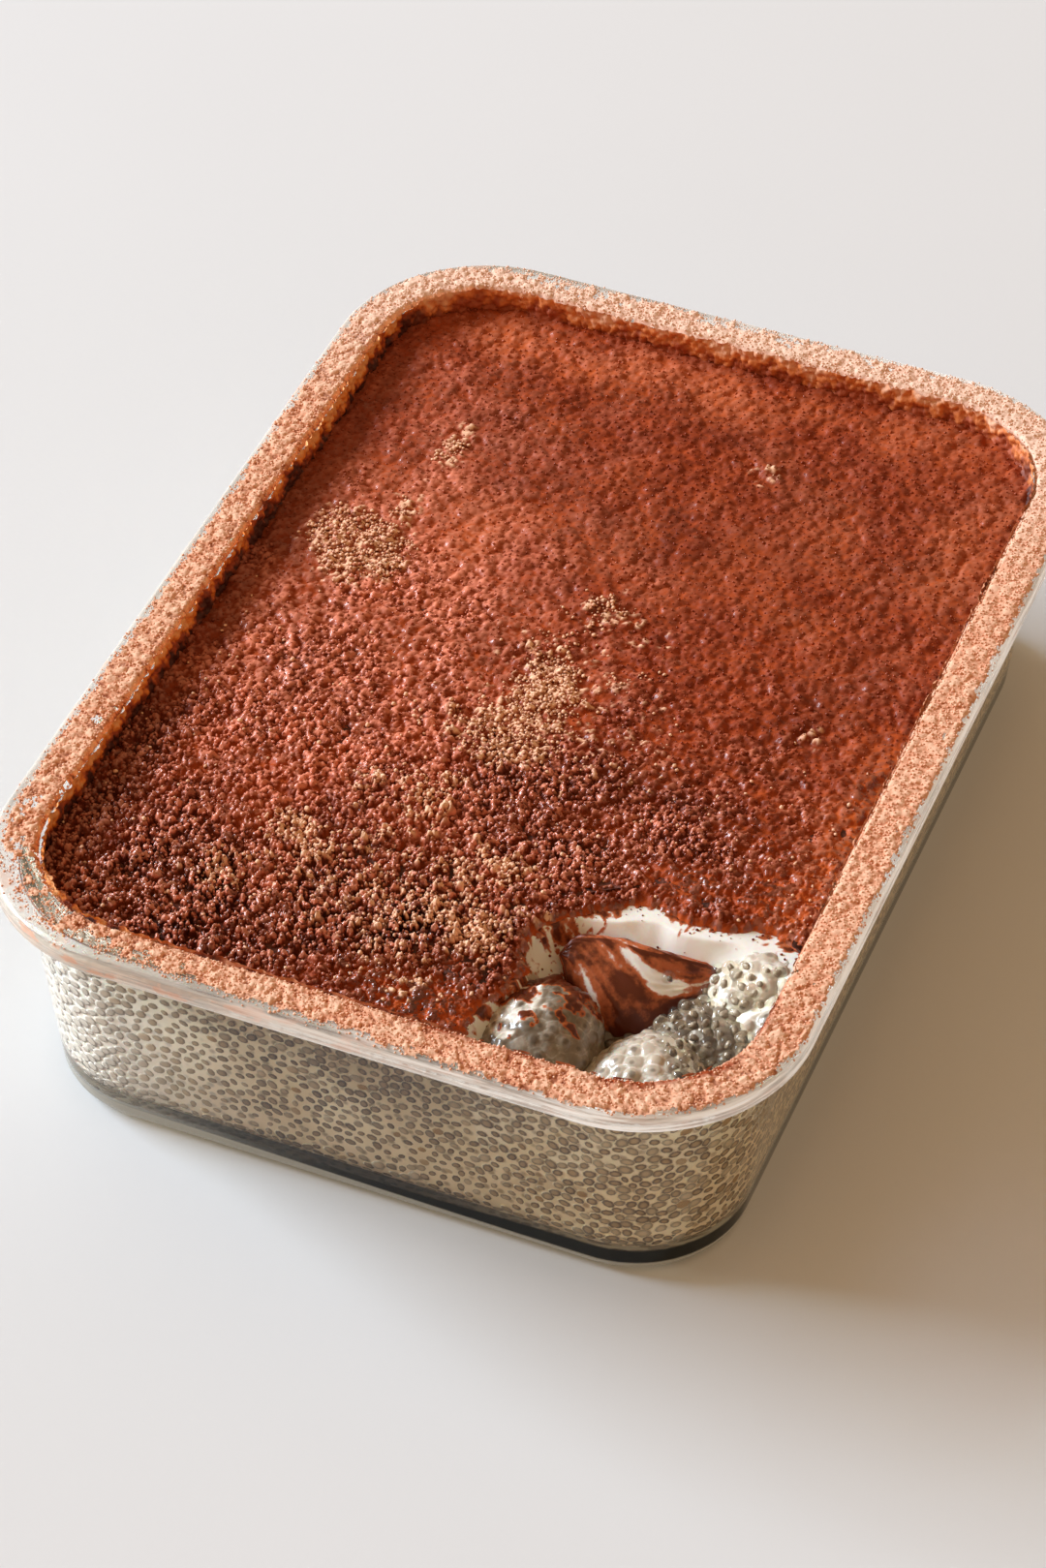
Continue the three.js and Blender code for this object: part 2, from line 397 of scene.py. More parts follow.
def turnsTo(normals, spins):
    # turns that lay a shape's Z along each normal, with X at its own angle round it
    normals = normals / np.linalg.norm(normals, axis=1, keepdims=True)
    helper = np.where(np.abs(normals[:, 2:3]) < 0.9, [[0.0, 0.0, 1.0]], [[1.0, 0.0, 0.0]])
    across = np.cross(helper, normals)
    across /= np.linalg.norm(across, axis=1, keepdims=True)
    along = np.cross(normals, across)
    first = across * np.cos(spins)[:, None] + along * np.sin(spins)[:, None]
    return np.stack([first, np.cross(normals, first), normals], axis=2)


def keepApart(places, gap):
    # the indices of those places that are at least gap from every one kept before
    cells = {}
    kept = []
    keys = np.floor(places / gap).astype(int).tolist()
    near = [(a, b, c) for a in (-1, 0, 1) for b in (-1, 0, 1) for c in (-1, 0, 1)]
    for i, (key, place) in enumerate(zip(keys, places.tolist())):
        around = (cells.get((key[0] + a, key[1] + b, key[2] + c), ()) for a, b, c in near)
        if not any(math.dist(other, place) < gap for cell in around for other in cell):
            cells.setdefault(tuple(key), []).append(place)
            kept.append(i)
    return np.array(kept)


def evenOut(places, gap, low, high, rounds=10, neighbours=80, share=0.3):
    # moves crowded places apart, so that they lie about as far from each other everywhere
    for _ in range(rounds):
        places = places[np.argsort(places[:, 0])]
        push = np.zeros_like(places)
        for k in range(1, neighbours):
            offset = places[k:] - places[:-k]
            away = np.maximum(np.hypot(offset[:, 0], offset[:, 1]), 0.01)
            move = offset * (np.maximum(gap - away, 0) / away * share)[:, None]
            push[k:] += move
            push[:-k] -= move
        places = places + push
        places[:, 1] = np.clip(places[:, 1], low, high)
    return places


# Uneven fields, in millimetres
def cloud(x, y, size, seed):
    # smooth noise from -1 to 1 with bumps about size across
    cells = 96
    table = np.random.default_rng(seed).random((cells, cells)) * 2 - 1
    u, v = x / size + 40, y / size + 40
    i, j = np.floor(u).astype(int), np.floor(v).astype(int)
    fu, fv = u - i, v - j
    fu, fv = fu * fu * (3 - 2 * fu), fv * fv * (3 - 2 * fv)
    i, j, k, m = i % cells, j % cells, (i + 1) % cells, (j + 1) % cells
    low = table[i, j] * (1 - fu) + table[k, j] * fu
    high = table[i, m] * (1 - fu) + table[k, m] * fu
    return low * (1 - fv) + high * fv


def clouds(x, y, *layers):
    # noise of several heights, sizes and seeds, added up
    return sum(height * cloud(x, y, size, seed) for height, size, seed in layers)


def cloudIn(places, size, seed):
    # the same in space, as a mean of three slices
    x, y, z = places.T
    first, second = cloud(x + 0.31 * z, y, size, seed), cloud(y + 0.27 * x, z, size, seed + 1)
    return (first + second + cloud(z + 0.29 * y, x, size, seed + 2)) / 1.9


def beads(x, y, pitch, seed, spread=0.42, empty=0.0):
    # uneven domes packed side by side: how high each place is, from 0 to about 1, and its dome's own number
    cells, wander, least, low, taller = 512, 0.85, 0.42, 0.55, 0.6
    table = np.random.default_rng(seed).random((cells, cells, 4)).astype(np.float32)
    i, j = np.floor(x / pitch).astype(int), np.floor(y / pitch).astype(int)
    best, tone = np.zeros(x.shape), np.zeros(x.shape)
    for di in (-1, 0, 1):
        for dj in (-1, 0, 1):
            own = table[(i + di) % cells, (j + dj) % cells]
            cx = (i + di + 0.5 + wander * (own[..., 0] - 0.5)) * pitch
            cy = (j + dj + 0.5 + wander * (own[..., 1] - 0.5)) * pitch
            radius = pitch * (least + spread * own[..., 2])
            rest = 1 - ((x - cx) ** 2 + (y - cy) ** 2) / radius ** 2
            height = np.sqrt(np.maximum(rest, 0)) * (low + taller * own[..., 2]) * (own[..., 3] >= empty)
            tone = np.where(height > best, own[..., 3], tone)
            best = np.maximum(height, best)
    return best, tone


def unit(values):
    return np.clip(values, 0, 1)


def step(value, low, high):
    t = unit((value - low) / (high - low))
    return t * t * (3 - 2 * t)


def spot(x, y, middle, size, angle=0.0):
    # 1 in the middle of a turned oval, fading to 0 outside it
    c, s = math.cos(math.radians(angle)), math.sin(math.radians(angle))
    u = ((x - middle[0]) * c + (y - middle[1]) * s) / size[0]
    v = (-(x - middle[0]) * s + (y - middle[1]) * c) / size[1]
    return np.exp(-(u * u + v * v))


def spots(x, y, many):
    return np.max([spot(x, y, *one[:3]) * one[3] for one in many], axis=0)


def smoothThrough(points, steps, closed=False):
    # a curve through the points, with so many steps from each to the next
    if closed:
        padded = np.concatenate([points[-1:], points, points[:2]])
    else:
        padded = np.concatenate([2 * points[:1] - points[1:2], points, 2 * points[-1:] - points[-2:-1]])
    t = (np.arange(steps) / steps).reshape(-1, 1, 1)
    p0, p1, p2, p3 = padded[:-3], padded[1:-2], padded[2:-1], padded[3:]
    bend = (2 * p0 - 5 * p1 + 4 * p2 - p3) * t ** 2 + (3 * p1 - 3 * p2 + p3 - p0) * t ** 3
    curve = 0.5 * (2 * p1 + (p2 - p0) * t + bend)
    curve = np.swapaxes(curve, 0, 1).reshape(-1, points.shape[1])
    return curve if closed else np.concatenate([curve, points[-1:]])


# The dish's outline
halfX = dish["width"] / 2 - dish["cornerRadius"]
halfY = dish["length"] / 2 - dish["cornerRadius"]
bendLength = (dish["cornerRadius"] - dish["rimWidth"]) * math.pi / 2
outlineEnds = np.cumsum([0] + [2 * halfY, bendLength, 2 * halfX, bendLength] * 2)
outlineLength = outlineEnds[-1]


def outlineAt(along, inset):
    # the place on the outline so far along it (as measured on the rim's inner edge), and the way out there
    along = np.mod(along, outlineLength)
    part = np.clip(np.searchsorted(outlineEnds, along, side="right") - 1, 0, 7)
    share = (along - outlineEnds[part]) / (outlineEnds[part + 1] - outlineEnds[part])
    side = part // 2
    turning = part % 2 == 1
    centres = np.array([[1, -1], [1, 1], [-1, 1], [-1, -1], [1, -1]]) * [halfX, halfY]
    slide = np.where(turning, 1.0, share)[..., None]
    middle = centres[side] * (1 - slide) + centres[side + 1] * slide
    angle = (side + np.where(turning, share, 0)) * math.pi / 2
    out = np.stack([np.cos(angle), np.sin(angle)], axis=-1)
    return middle + out * (dish["cornerRadius"] - np.asarray(inset))[..., None], out


def insetOf(x, y):
    # how far a place lies inside the dish's outer edge, seen from above
    qx = np.abs(x) - halfX
    qy = np.abs(y) - halfY
    outside = np.hypot(np.maximum(qx, 0), np.maximum(qy, 0))
    return dish["cornerRadius"] - outside - np.minimum(np.maximum(qx, qy), 0)


def pullIn(x, y, limit):
    # moves places that lie too near the outer edge in to that inset
    short = np.maximum(limit - insetOf(x, y), 0)
    qx = np.maximum(np.abs(x) - halfX, 0)
    qy = np.maximum(np.abs(y) - halfY, 0)
    size = np.maximum(np.hypot(qx, qy), 1e-6)
    return x - np.sign(x) * qx / size * short, y - np.sign(y) * qy / size * short


def innerInset(z):
    run = dish["footInset"] + dish["wall"] - dish["rimWidth"]
    return dish["rimWidth"] + run * (dish["height"] - z) / (dish["height"] - dish["floor"])


def swell(x, y, inset):
    # the slow rise and fall of the food's surfaces, as the solids have it
    waves = 0.16 * np.sin(x / 15 + 1.1) * np.cos(y / 21) + 0.12 * np.sin((x + y) / 9)
    return waves - 0.3 * np.exp(-(inset - dish["rimWidth"]) / 2.5)


def hollowShare(x, y):
    # 0 in the middle of the hollow, 1 on its outline; and the outline's distance from the middle that way
    line = smoothThrough(np.array(hollow["outline"]), 8, True) - hollow["middle"]
    angles = np.arctan2(line[:, 1], line[:, 0])
    order = np.argsort(angles)
    dx, dy = x - hollow["middle"][0], y - hollow["middle"][1]
    angle = np.arctan2(dy, dx)
    reach = np.interp(angle, angles[order], np.hypot(line[:, 0], line[:, 1])[order], period=2 * math.pi)
    return np.hypot(dx, dy) / reach, reach


def meshPlaces(x, y, z):
    return np.stack([x, y, z], axis=-1).reshape(-1, 3)


# Camera, lights and floor
view = {
    "azimuth": 21.594,
    "elevation": 43.622,
    "roll": 0.669,
    "distance": 858.2,
    "target": (-0.63, -15.15, 30.0),
    "lens": 108.03,
    "sensor": 36,
}

cameraData = bpy.data.cameras.new("camera")
cameraData.sensor_width = view["sensor"]
cameraData.lens = view["lens"]
camera = bpy.data.objects.new("camera", cameraData)
scene.collection.objects.link(camera)
scene.camera = camera
azimuth, elevation, roll = [math.radians(view[key]) for key in ("azimuth", "elevation", "roll")]
level = math.cos(elevation)
back = Vector((math.sin(azimuth) * level, -math.cos(azimuth) * level, math.sin(elevation)))
right = Vector((math.cos(azimuth), math.sin(azimuth), 0))
up = back.cross(right)
turnedRight = right * math.cos(roll) + up * math.sin(roll)
turnedUp = up * math.cos(roll) - right * math.sin(roll)
turn = Matrix((turnedRight, turnedUp, back)).transposed()
stand = (Vector(view["target"]) + back * view["distance"]) * mm
camera.matrix_world = Matrix.Translation(stand) @ turn.to_4x4()

light = {
    "from": (-4.47, 0.08, 2.20),  # metres from the dish, the window's side
    "size": (2.9, 1.7),
    "power": 476.0,
    "colour": (0.72, 0.856, 1.0),
    "fill": 0.46,
    "fillColour": (1.0, 0.66, 0.37),  # what the shadows are filled with
    "room": (0.64, 0.625, 0.60),  # what clear and glossy things mirror
    "table": (0.758, 0.760, 0.757),
}

lampData = bpy.data.lights.new("window", "AREA")
lampData.shape = "RECTANGLE"
lampData.size, lampData.size_y = light["size"]
lampData.energy = light["power"]
lampData.color = light["colour"]
lamp = bpy.data.objects.new("window", lampData)
lamp.location = light["from"]
lamp.rotation_euler = (-Vector(light["from"])).to_track_quat("-Z", "Y").to_euler()
scene.collection.objects.link(lamp)

world = bpy.data.worlds.new("studio")
scene.world = world
world.use_nodes = True
nodes, links = world.node_tree.nodes, world.node_tree.links
shadowFill, mirrored = nodes["Background"], nodes.new("ShaderNodeBackground")
shadowFill.inputs["Color"].default_value = light["fillColour"] + (1.0,)
shadowFill.inputs["Strength"].default_value = light["fill"]
mirrored.inputs["Color"].default_value = light["room"] + (1.0,)
path = nodes.new("ShaderNodeLightPath")
seenThrough = nodes.new("ShaderNodeMath")  # 1 straight through glass, 0 where matt things take their light
seenThrough.operation = "SUBTRACT"
seenThrough.use_clamp = True
either = nodes.new("ShaderNodeMixShader")
for start, end in (
    (path.outputs["Is Transmission Ray"], seenThrough.inputs[0]),
    (path.outputs["Diffuse Depth"], seenThrough.inputs[1]),
    (seenThrough.outputs[0], either.inputs[0]),
    (shadowFill.outputs[0], either.inputs[1]),
    (mirrored.outputs[0], either.inputs[2]),
    (either.outputs[0], nodes["World Output"].inputs["Surface"]),
):
    links.new(start, end)
scene.view_settings.view_transform = "Standard"

deselectAll()
bpy.ops.mesh.primitive_plane_add(size=3.2)
floor = bpy.context.object
floor.name = "floor"
table = Finish("paleTable", Roughness=0.65, Specular_IOR_Level=0.15)
paler = tuple(min(1.0, c * 1.03) for c in light["table"])
table.set(Base_Color=table.blend(table.noise(90, 4.0), light["table"], paler))
table.set(Normal=table.bump(table.noise(1.1, 2.0), 0.03, 0.4))
floor.data.materials.append(table.material)
floor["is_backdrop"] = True
print("camera, lights and floor")


# Glass dish: the upper half is inset step by step from the rim's outer edge over the rim and down
# inside, the lower half from the same edge down outside to the foot, and the two are bridged.
glassTop = dish["height"] - dish["dustRoom"]
rimUnder = dish["height"] - dish["rimThickness"]


def arc(inset, z, radius, start, end, steps):
    angles = np.radians(np.linspace(start, end, steps + 1))
    return [(inset + radius * math.cos(a), z + radius * math.sin(a)) for a in angles]


innerFoot = innerInset(dish["floor"] + dish["innerRound"])
upperProfile = (
    arc(dish["rimRound"], glassTop - dish["rimRound"], dish["rimRound"], 180, 90, 6)
    + arc(dish["rimWidth"] - dish["lipRound"], glassTop - dish["lipRound"], dish["lipRound"], 90, 0, 5)
    + arc(innerFoot + dish["innerRound"], dish["floor"] + dish["innerRound"], dish["innerRound"], 180, 270, 8)
)
lowerProfile = (
    arc(dish["lipRound"], rimUnder + dish["lipRound"], dish["lipRound"], 180, 270, 4)
    + arc(dish["neckInset"] - dish["lipRound"], rimUnder - dish["lipRound"], dish["lipRound"], 90, 0, 4)
    + arc(dish["footInset"] + dish["footRound"], dish["footRound"], dish["footRound"], 180, 270, 7)
)


def insetSheet(profile, name, downwards):
    deselectAll()
    bpy.ops.mesh.primitive_plane_add(size=1, location=(0, 0, profile[0][1] * mm))
    sheet = bpy.context.object
    sheet.name = name
    sheet.scale = (dish["width"] * mm, dish["length"] * mm, 1)
    bpy.ops.object.transform_apply(location=True, rotation=True, scale=True)
    bpy.ops.object.mode_set(mode="EDIT")
    bpy.ops.mesh.select_all(action="SELECT")
    radius, segments = dish["cornerRadius"] * mm, dish["cornerSteps"]
    bpy.ops.mesh.bevel(offset=radius, offset_type="OFFSET", segments=segments, profile=0.5, affect="VERTICES")
    bpy.ops.mesh.select_all(action="SELECT")
    if downwards:
        bpy.ops.mesh.flip_normals()
    for (insetA, zA), (insetB, zB) in zip(profile, profile[1:]):
        deeper = zA - zB if downwards else zB - zA
        bpy.ops.mesh.inset(thickness=(insetB - insetA) * mm, depth=deeper * mm, use_even_offset=True)
    bpy.ops.object.mode_set(mode="OBJECT")
    return sheet


glassDish = insetSheet(upperProfile, "glassDish", False)
underside = insetSheet(lowerProfile, "glassUnderside", True)
pick(underside)
glassDish.select_set(True)
bpy.context.view_layer.objects.active = glassDish
bpy.ops.object.join()
bpy.ops.object.mode_set(mode="EDIT")
bpy.ops.mesh.select_all(action="DESELECT")
bpy.ops.mesh.select_mode(type="EDGE")
bpy.ops.mesh.select_non_manifold()
bpy.ops.mesh.bridge_edge_loops()
bpy.ops.mesh.select_all(action="SELECT")
bpy.ops.mesh.normals_make_consistent(inside=False)
bpy.ops.object.mode_set(mode="OBJECT")
bpy.ops.object.shade_smooth()
applyModifier(glassDish, "WEIGHTED_NORMAL", weight=100, keep_sharp=False)

# The glass is clear. Over it lie dust and painted light and shade: a milky painted glow with streaks on the
# rim's edge, dust there too, a painted reflection glowing on the rim's right part, a band at the foot that is
# pale at the left (painted light) and dark at the right (painted shade), and a pale painted strip of light
# under it.
glassLook = {
    "rimEdge": (46.2, 46.9, 49.9, 50.8),  # heights between which it starts and fades
    "dusted": (47.2, 48.2),
    "bandFrom": (4.7, 3.0),  # heights at the left and at the right
    "bandTo": (5.5, 6.7),
    "soft": (0.3, 0.4),
    "strip": (0.1, 0.4),
    "thick": (9.0, 6.0),  # less lamp light gets through below
}
glass = Finish("clearGlass", Base_Color=(0.985, 0.995, 0.99), Roughness=0.0, IOR=1.45,
               Transmission_Weight=1.0)
inside = glass.node("ShaderNodeVolumeAbsorption", None, {"Color": (0.82, 0.86, 0.80), "Density": 8.0})
glass.tree.links.new(inside.socket, glass.output.inputs["Volume"])
x, y, z = cornersOf(glassDish).T
# the rim's right part, where the painted reflection glows and less dust lies
setAttributes(glassDish.data, {"outer": insetOf(x, y) < 3, "bright": step(x, -25, 25)})
across, height = glass.along("X"), glass.along("Z")
bright = glass.attribute("bright")
edgeLow, edgeStart, edgeFade, edgeEnd = glassLook["rimEdge"]
rimEdge = glass.attribute("outer") * glass.between(height, edgeLow, edgeStart)
rimEdge = rimEdge * (1 - glass.between(height, edgeFade, edgeEnd) * 0.5)
# painted light: a milky glow in streaks on the rim's edge, for light passing through the glass
paintedGlowStreaks = glass.between(glass.noise(3.0, 4.0, 0.65, (0.15, 0.15, 3.5)), 0.38, 0.62)
glass.layOver(rimEdge * (0.38 + paintedGlowStreaks * 0.4), Base_Color=(0.84, 0.74, 0.62), Roughness=0.3)
dusted = glass.between(glass.noise(3.4, 3.0, 0.6, (0.5, 0.5, 1.6)), 0.56, 0.64)
dusted = dusted * glass.between(height, *glassLook["dusted"])
glass.layOver(rimEdge * dusted * (1 - bright * 0.7) * 0.7, Base_Color=(0.82, 0.42, 0.26), Roughness=0.8)
# painted reflection: a glow of the bright room on the rim's right part
glass.layOver(rimEdge * bright * (0.15 + paintedGlowStreaks * 0.6), Base_Color=(0.9, 0.89, 0.87), Roughness=0.15,
              Emission_Color=(1.0, 0.975, 0.94), Emission_Strength=0.4)
leftFrom, rightFrom = glassLook["bandFrom"]
leftTo, rightTo = glassLook["bandTo"]
bandFrom = leftFrom + glass.between(across, -60, 45) * (rightFrom - leftFrom)
bandTo = leftTo + glass.between(across, 5, 45) * (rightTo - leftTo)
softFrom, softTo = glassLook["soft"]
aboveStrip = glass.between(height, bandFrom - softFrom, bandFrom + softFrom)
paintedFootBand = aboveStrip * (1 - glass.between(height, bandTo - softTo, bandTo + softTo))
# painted light: the foot band pale at the left
glass.layOver(paintedFootBand * (1 - glass.between(across, -60, 10)) * 0.6,
              Base_Color=(0.50, 0.51, 0.47), Roughness=0.1)
# painted shade: the foot band dark, most of all toward the right
glass.layOver(paintedFootBand * (0.1 + glass.between(across, -52, 22) * 0.87),
              Base_Color=(0.004, 0.006, 0.006), Roughness=0.08, IOR=1.25)
# painted light: a pale, faintly glowing strip under the band
paintedFootStrip = glass.between(height, *glassLook["strip"]) * (1 - aboveStrip)
glass.layOver(paintedFootStrip * 0.85, Base_Color=(0.36, 0.34, 0.28), Roughness=0.2,
              Emission_Color=(0.95, 0.92, 0.75), Emission_Strength=0.035)
glass.letLampsThrough((0.93, 0.95, 0.94), glass.between(height, *glassLook["thick"]), (0.30, 0.24, 0.16))
finishPiece(glassDish, glass, ["dish"])
print("glass dish:", len(glassDish.data.polygons), "faces")

# Cores of the pudding, the cream and the crust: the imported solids, let into the glass at the wall and
# drawn back in the hollow, where finer skins lie over them.
cores = {
    "intoWall": 0.5,
    "inHollow": 0.8,
    "puddingDrop": 0.3,
    "creamDrop": 0.2,
    "crustDrop": 1.3,
    "crustBack": 3.2,
}


def core(node, name, drop):
    piece = solidCopy(node, name)
    places = cornersOf(piece)
    normals = normalsOf(piece)
    x, y, z = places.T
    byWall = insetOf(x, y) - innerInset(z) < 0.6
    byFloor = z < dish["floor"] + dish["innerRound"] + 0.1
    outer = byWall | byFloor
    inHollow = ~outer & (hollowShare(x, y)[0] < 1.08)
    out = np.stack([normals[:, 0], normals[:, 1], np.where(byFloor, normals[:, 2], 0)], axis=1)
    places = places + np.where(outer[:, None], out * cores["intoWall"], 0)
    places = places - np.where(inHollow[:, None], normals * cores["inHollow"], 0)
    places[:, 2] -= np.where(normals[:, 2] > 0.5, drop, 0)
    if node == "cocoa_layer":
        away = places[:, :2] - hollow["middle"]
        byHollow = inHollow & (insetOf(x, y) > dish["rimWidth"] + 4)
        away = away / np.linalg.norm(away, axis=1, keepdims=True) * cores["crustBack"]
        places[:, :2] += np.where(byHollow[:, None], away, 0)
    moveCorners(piece, places)
    return piece


# The milk between the seeds: cloudy, with painted light and shade laid over it: a painted glare, white, at the
# near left foot, painted light toward the shaded right side, and painted shade, darker, on the wall that faces
# the window.
milk = {
    "thin": (0.74, 0.53, 0.31),
    "thick": (0.94, 0.72, 0.465),
    "right": (1.0, 0.78, 0.47),
    "left": (0.30, 0.215, 0.125),
    "white": (0.95, 0.81, 0.665),
    "glareMiddle": (-67.0, -89.0, 18.0),
    "glareInner": 13.0,
    "glareOuter": 56.0,
    "glow": 0.09,  # painted light: a glow from the room on the shaded side
}


def milkClouds(finish):
    return finish.blend(finish.patches(14, 0.35, 0.7, 4.0), milk["thin"], milk["thick"])


# where the painted glare lies, white, at the near left foot
def paintedGlare(finish):
    return finish.near(milk["glareMiddle"], milk["glareInner"], milk["glareOuter"])


# where the painted light lies, on the shaded right side
def toRight(finish):
    return finish.between(finish.along("X"), 0, 50)


# where the painted shade lies, on the left wall
def leftWall(finish):
    return finish.between(finish.along("X"), -60, -66) * finish.between(finish.along("Y"), -84, -68)


# painted light: on the shaded right side the colour is also given off as a glow
def setWithGlow(finish, colour, **others):
    glow = finish.blend(toRight(finish), (0.0, 0.0, 0.0), colour)
    finish.set(Base_Color=colour, Emission_Color=glow, Emission_Strength=milk["glow"], **others)


pudding = Finish("chiaPudding", Roughness=0.45, Specular_IOR_Level=0.15, IOR=1.4,
                 Subsurface_Weight=0.15, Subsurface_Scale=0.002)
deeper = pudding.between(pudding.cells(2.2), 0.15, 0.45)
# the milk, with painted glare at the near left foot, painted light on the right and painted shade on the left
# wall
setWithGlow(pudding, pudding.over(
    pudding.blend(deeper, (0.36, 0.24, 0.13), milkClouds(pudding)),
    (paintedGlare(pudding), milk["white"]),
    (toRight(pudding) * 0.75, pudding.blend(deeper, (0.58, 0.37, 0.17), milk["right"])),
    (leftWall(pudding) * 0.75, milk["left"]),
), Normal=pudding.bump(pudding.noise(1.5), 0.05, 0.3))

cream = Finish("cream", Roughness=0.38, Subsurface_Weight=0.35, Subsurface_Scale=0.003, IOR=1.45)
cream.set(Base_Color=cream.blend(cream.patches(9, 0.35, 0.7), (0.86, 0.77, 0.66), (0.93, 0.86, 0.76)))
cream.set(Normal=cream.bump(cream.noise(1.2), 0.06, 0.35))

packed = Finish("packedCocoa", Roughness=0.6)
packed.set(Base_Color=packed.blend(packed.patches(1.5, 0.35, 0.7), (0.05, 0.012, 0.006), (0.15, 0.03, 0.012)))
packed.set(Normal=packed.bump(packed.noise(0.5), 0.2, 0.8))

for node, name, drop, slot, finish in (
    ("chia_pudding", "puddingCore", cores["puddingDrop"], "chia_pudding", pudding),
    ("cream_layer", "creamCore", cores["creamDrop"], "cream", cream),
    ("cocoa_layer", "crustCore", cores["crustDrop"], "cocoa", packed),
):
    finishPiece(core(node, name, drop), finish, [node])
print("cores")

# Pudding left clinging to the glass beside the hollow: its section, as heights and distances from the glass.
wallFilm = {
    "reach": 62.0,  # how far it goes to either side of the near right corner's end
    "pitch": 1.2,
    "section": [(16.0, -0.06), (24.0, -0.06), (32.0, -0.06), (40.7, -0.06),
                (40.9, 0.4), (36.0, 1.5), (16.0, 1.6)],
}
filmZ, filmInset = np.array(wallFilm["section"]).T
filmAlong = outlineLength + np.arange(-wallFilm["reach"], wallFilm["reach"], wallFilm["pitch"])
alongGrid, filmZ = np.meshgrid(filmAlong, filmZ)
flat = outlineAt(alongGrid, innerInset(filmZ) + filmInset[:, None])[0]
faces = gridFaces(*filmZ.shape, np.ones(filmZ.shape, bool))
film = pieceFromArrays("puddingFilm", meshPlaces(flat[..., 0], flat[..., 1], filmZ), faces)
finishPiece(film, pudding)

# Seeds against the glass: flat ovals all round the wall and under the floor, some of them hazy.
wallSeeds = {
    "gap": 1.74,
    "tries": 80000,
    "floorTries": 34000,
    "even": 2.2,  # the gap they are moved to
    "length": 2.45,
    "across": 1.9,
    "spread": 0.14,
    "bulge": 0.15,
    "into": 0.12,  # how far into the glass they lie
    "top": 40.6,
    "tilt": -7.5,  # how the wall's slope faces down
}

footArc = dish["innerRound"] + 0.1
footCentre = innerFoot + dish["innerRound"]
footLength = footArc * math.pi / 2
slopeLength = wallSeeds["top"] - dish["floor"] - dish["innerRound"]


def sideAt(rise, reach):
    # the food's side so far up from the floor: its inset, its height and how steeply it faces down
    angle = unit(rise / footLength) * math.pi / 2 - math.pi / 2
    onSlope = rise > footLength
    centreUp = dish["floor"] + dish["innerRound"]
    radius = dish["innerRound"] + reach
    height = centreUp + np.maximum(rise - footLength, 0)
    inset = np.where(onSlope, innerInset(height) - reach, footCentre - radius * np.cos(angle))
    z = np.where(onSlope, height, centreUp + radius * np.sin(angle))
    return inset, z, np.where(onSlope, math.radians(wallSeeds["tilt"]), angle)


def seedMesh(name, middles, normals, seed):
    rng = np.random.default_rng(seed)
    count = len(middles)
    shape = seedShape(8)
    size = 1 + wallSeeds["spread"] * rng.standard_normal(count).clip(-1.8, 1.8)
    width = size * wallSeeds["across"] / 2 * rng.uniform(0.85, 1.15, count)
    underGlare = step(np.linalg.norm(middles - milk["glareMiddle"], axis=1), 36, 16)
    bulge = wallSeeds["bulge"] * (1 - 0.88 * underGlare)  # flat under the painted glare at the near left foot
    sizes = np.stack([size * wallSeeds["length"] / 2, width, bulge], axis=1)
    middles = middles + normals * (0.15 * underGlare)[:, None]
    turns = turnsTo(normals, 0.2 + 0.8 * rng.standard_normal(count))
    hazy = step(cloudIn(middles, 17, seed + 1), 0.35, 0.9) * (0.5 - 0.3 * step(middles[:, 0], 0, 50))
    own = {"tone": rng.random(count), "haze": unit(rng.random(count) ** 2.5 * 0.6 + hazy)}
    return pieceFromArrays(name, *copies(shape, middles, sizes, turns, own, {"radial": shape[2]}))


rng = np.random.default_rng(11)
along = rng.uniform(0, outlineLength, wallSeeds["tries"])
rise = rng.uniform(1.0, footLength + slopeLength, wallSeeds["tries"])
kept = keepApart(np.stack([along, rise, along * 0], axis=1), wallSeeds["gap"])
crowded = np.stack([along, rise], axis=1)[kept]
along, rise = evenOut(crowded, wallSeeds["even"], 0.8, footLength + slopeLength + 0.3).T
inset, z, tilt = sideAt(rise, wallSeeds["into"])
flat, out = outlineAt(along, inset)
normals = np.column_stack([out * np.cos(tilt)[:, None], np.sin(tilt)])
seedsOnWall = seedMesh("seedsOnWall", np.column_stack([flat, z]), normals, 12)

spanX, spanY = dish["width"] / 2 - footCentre - 1, dish["length"] / 2 - footCentre - 1
x, y = [rng.uniform(-span, span, wallSeeds["floorTries"]) for span in (spanX, spanY)]
fits = insetOf(x, y) > footCentre + 0.8
x, y = x[fits], y[fits]
kept = keepApart(np.stack([x, y, x * 0], axis=1), wallSeeds["gap"])
middles = np.column_stack([x[kept], y[kept], np.full(len(kept), dish["floor"] - wallSeeds["into"])])
seedsOnFloor = seedMesh("seedsOnFloor", middles, np.tile([0.0, 0.0, -1.0], (len(kept), 1)), 13)

seedSkin = Finish("seedInMilk", Roughness=0.5, IOR=1.4, Specular_IOR_Level=0.08)
radial = seedSkin.attribute("radial") + seedSkin.stir(0.22, 0.7)
tone = seedSkin.attribute("tone")
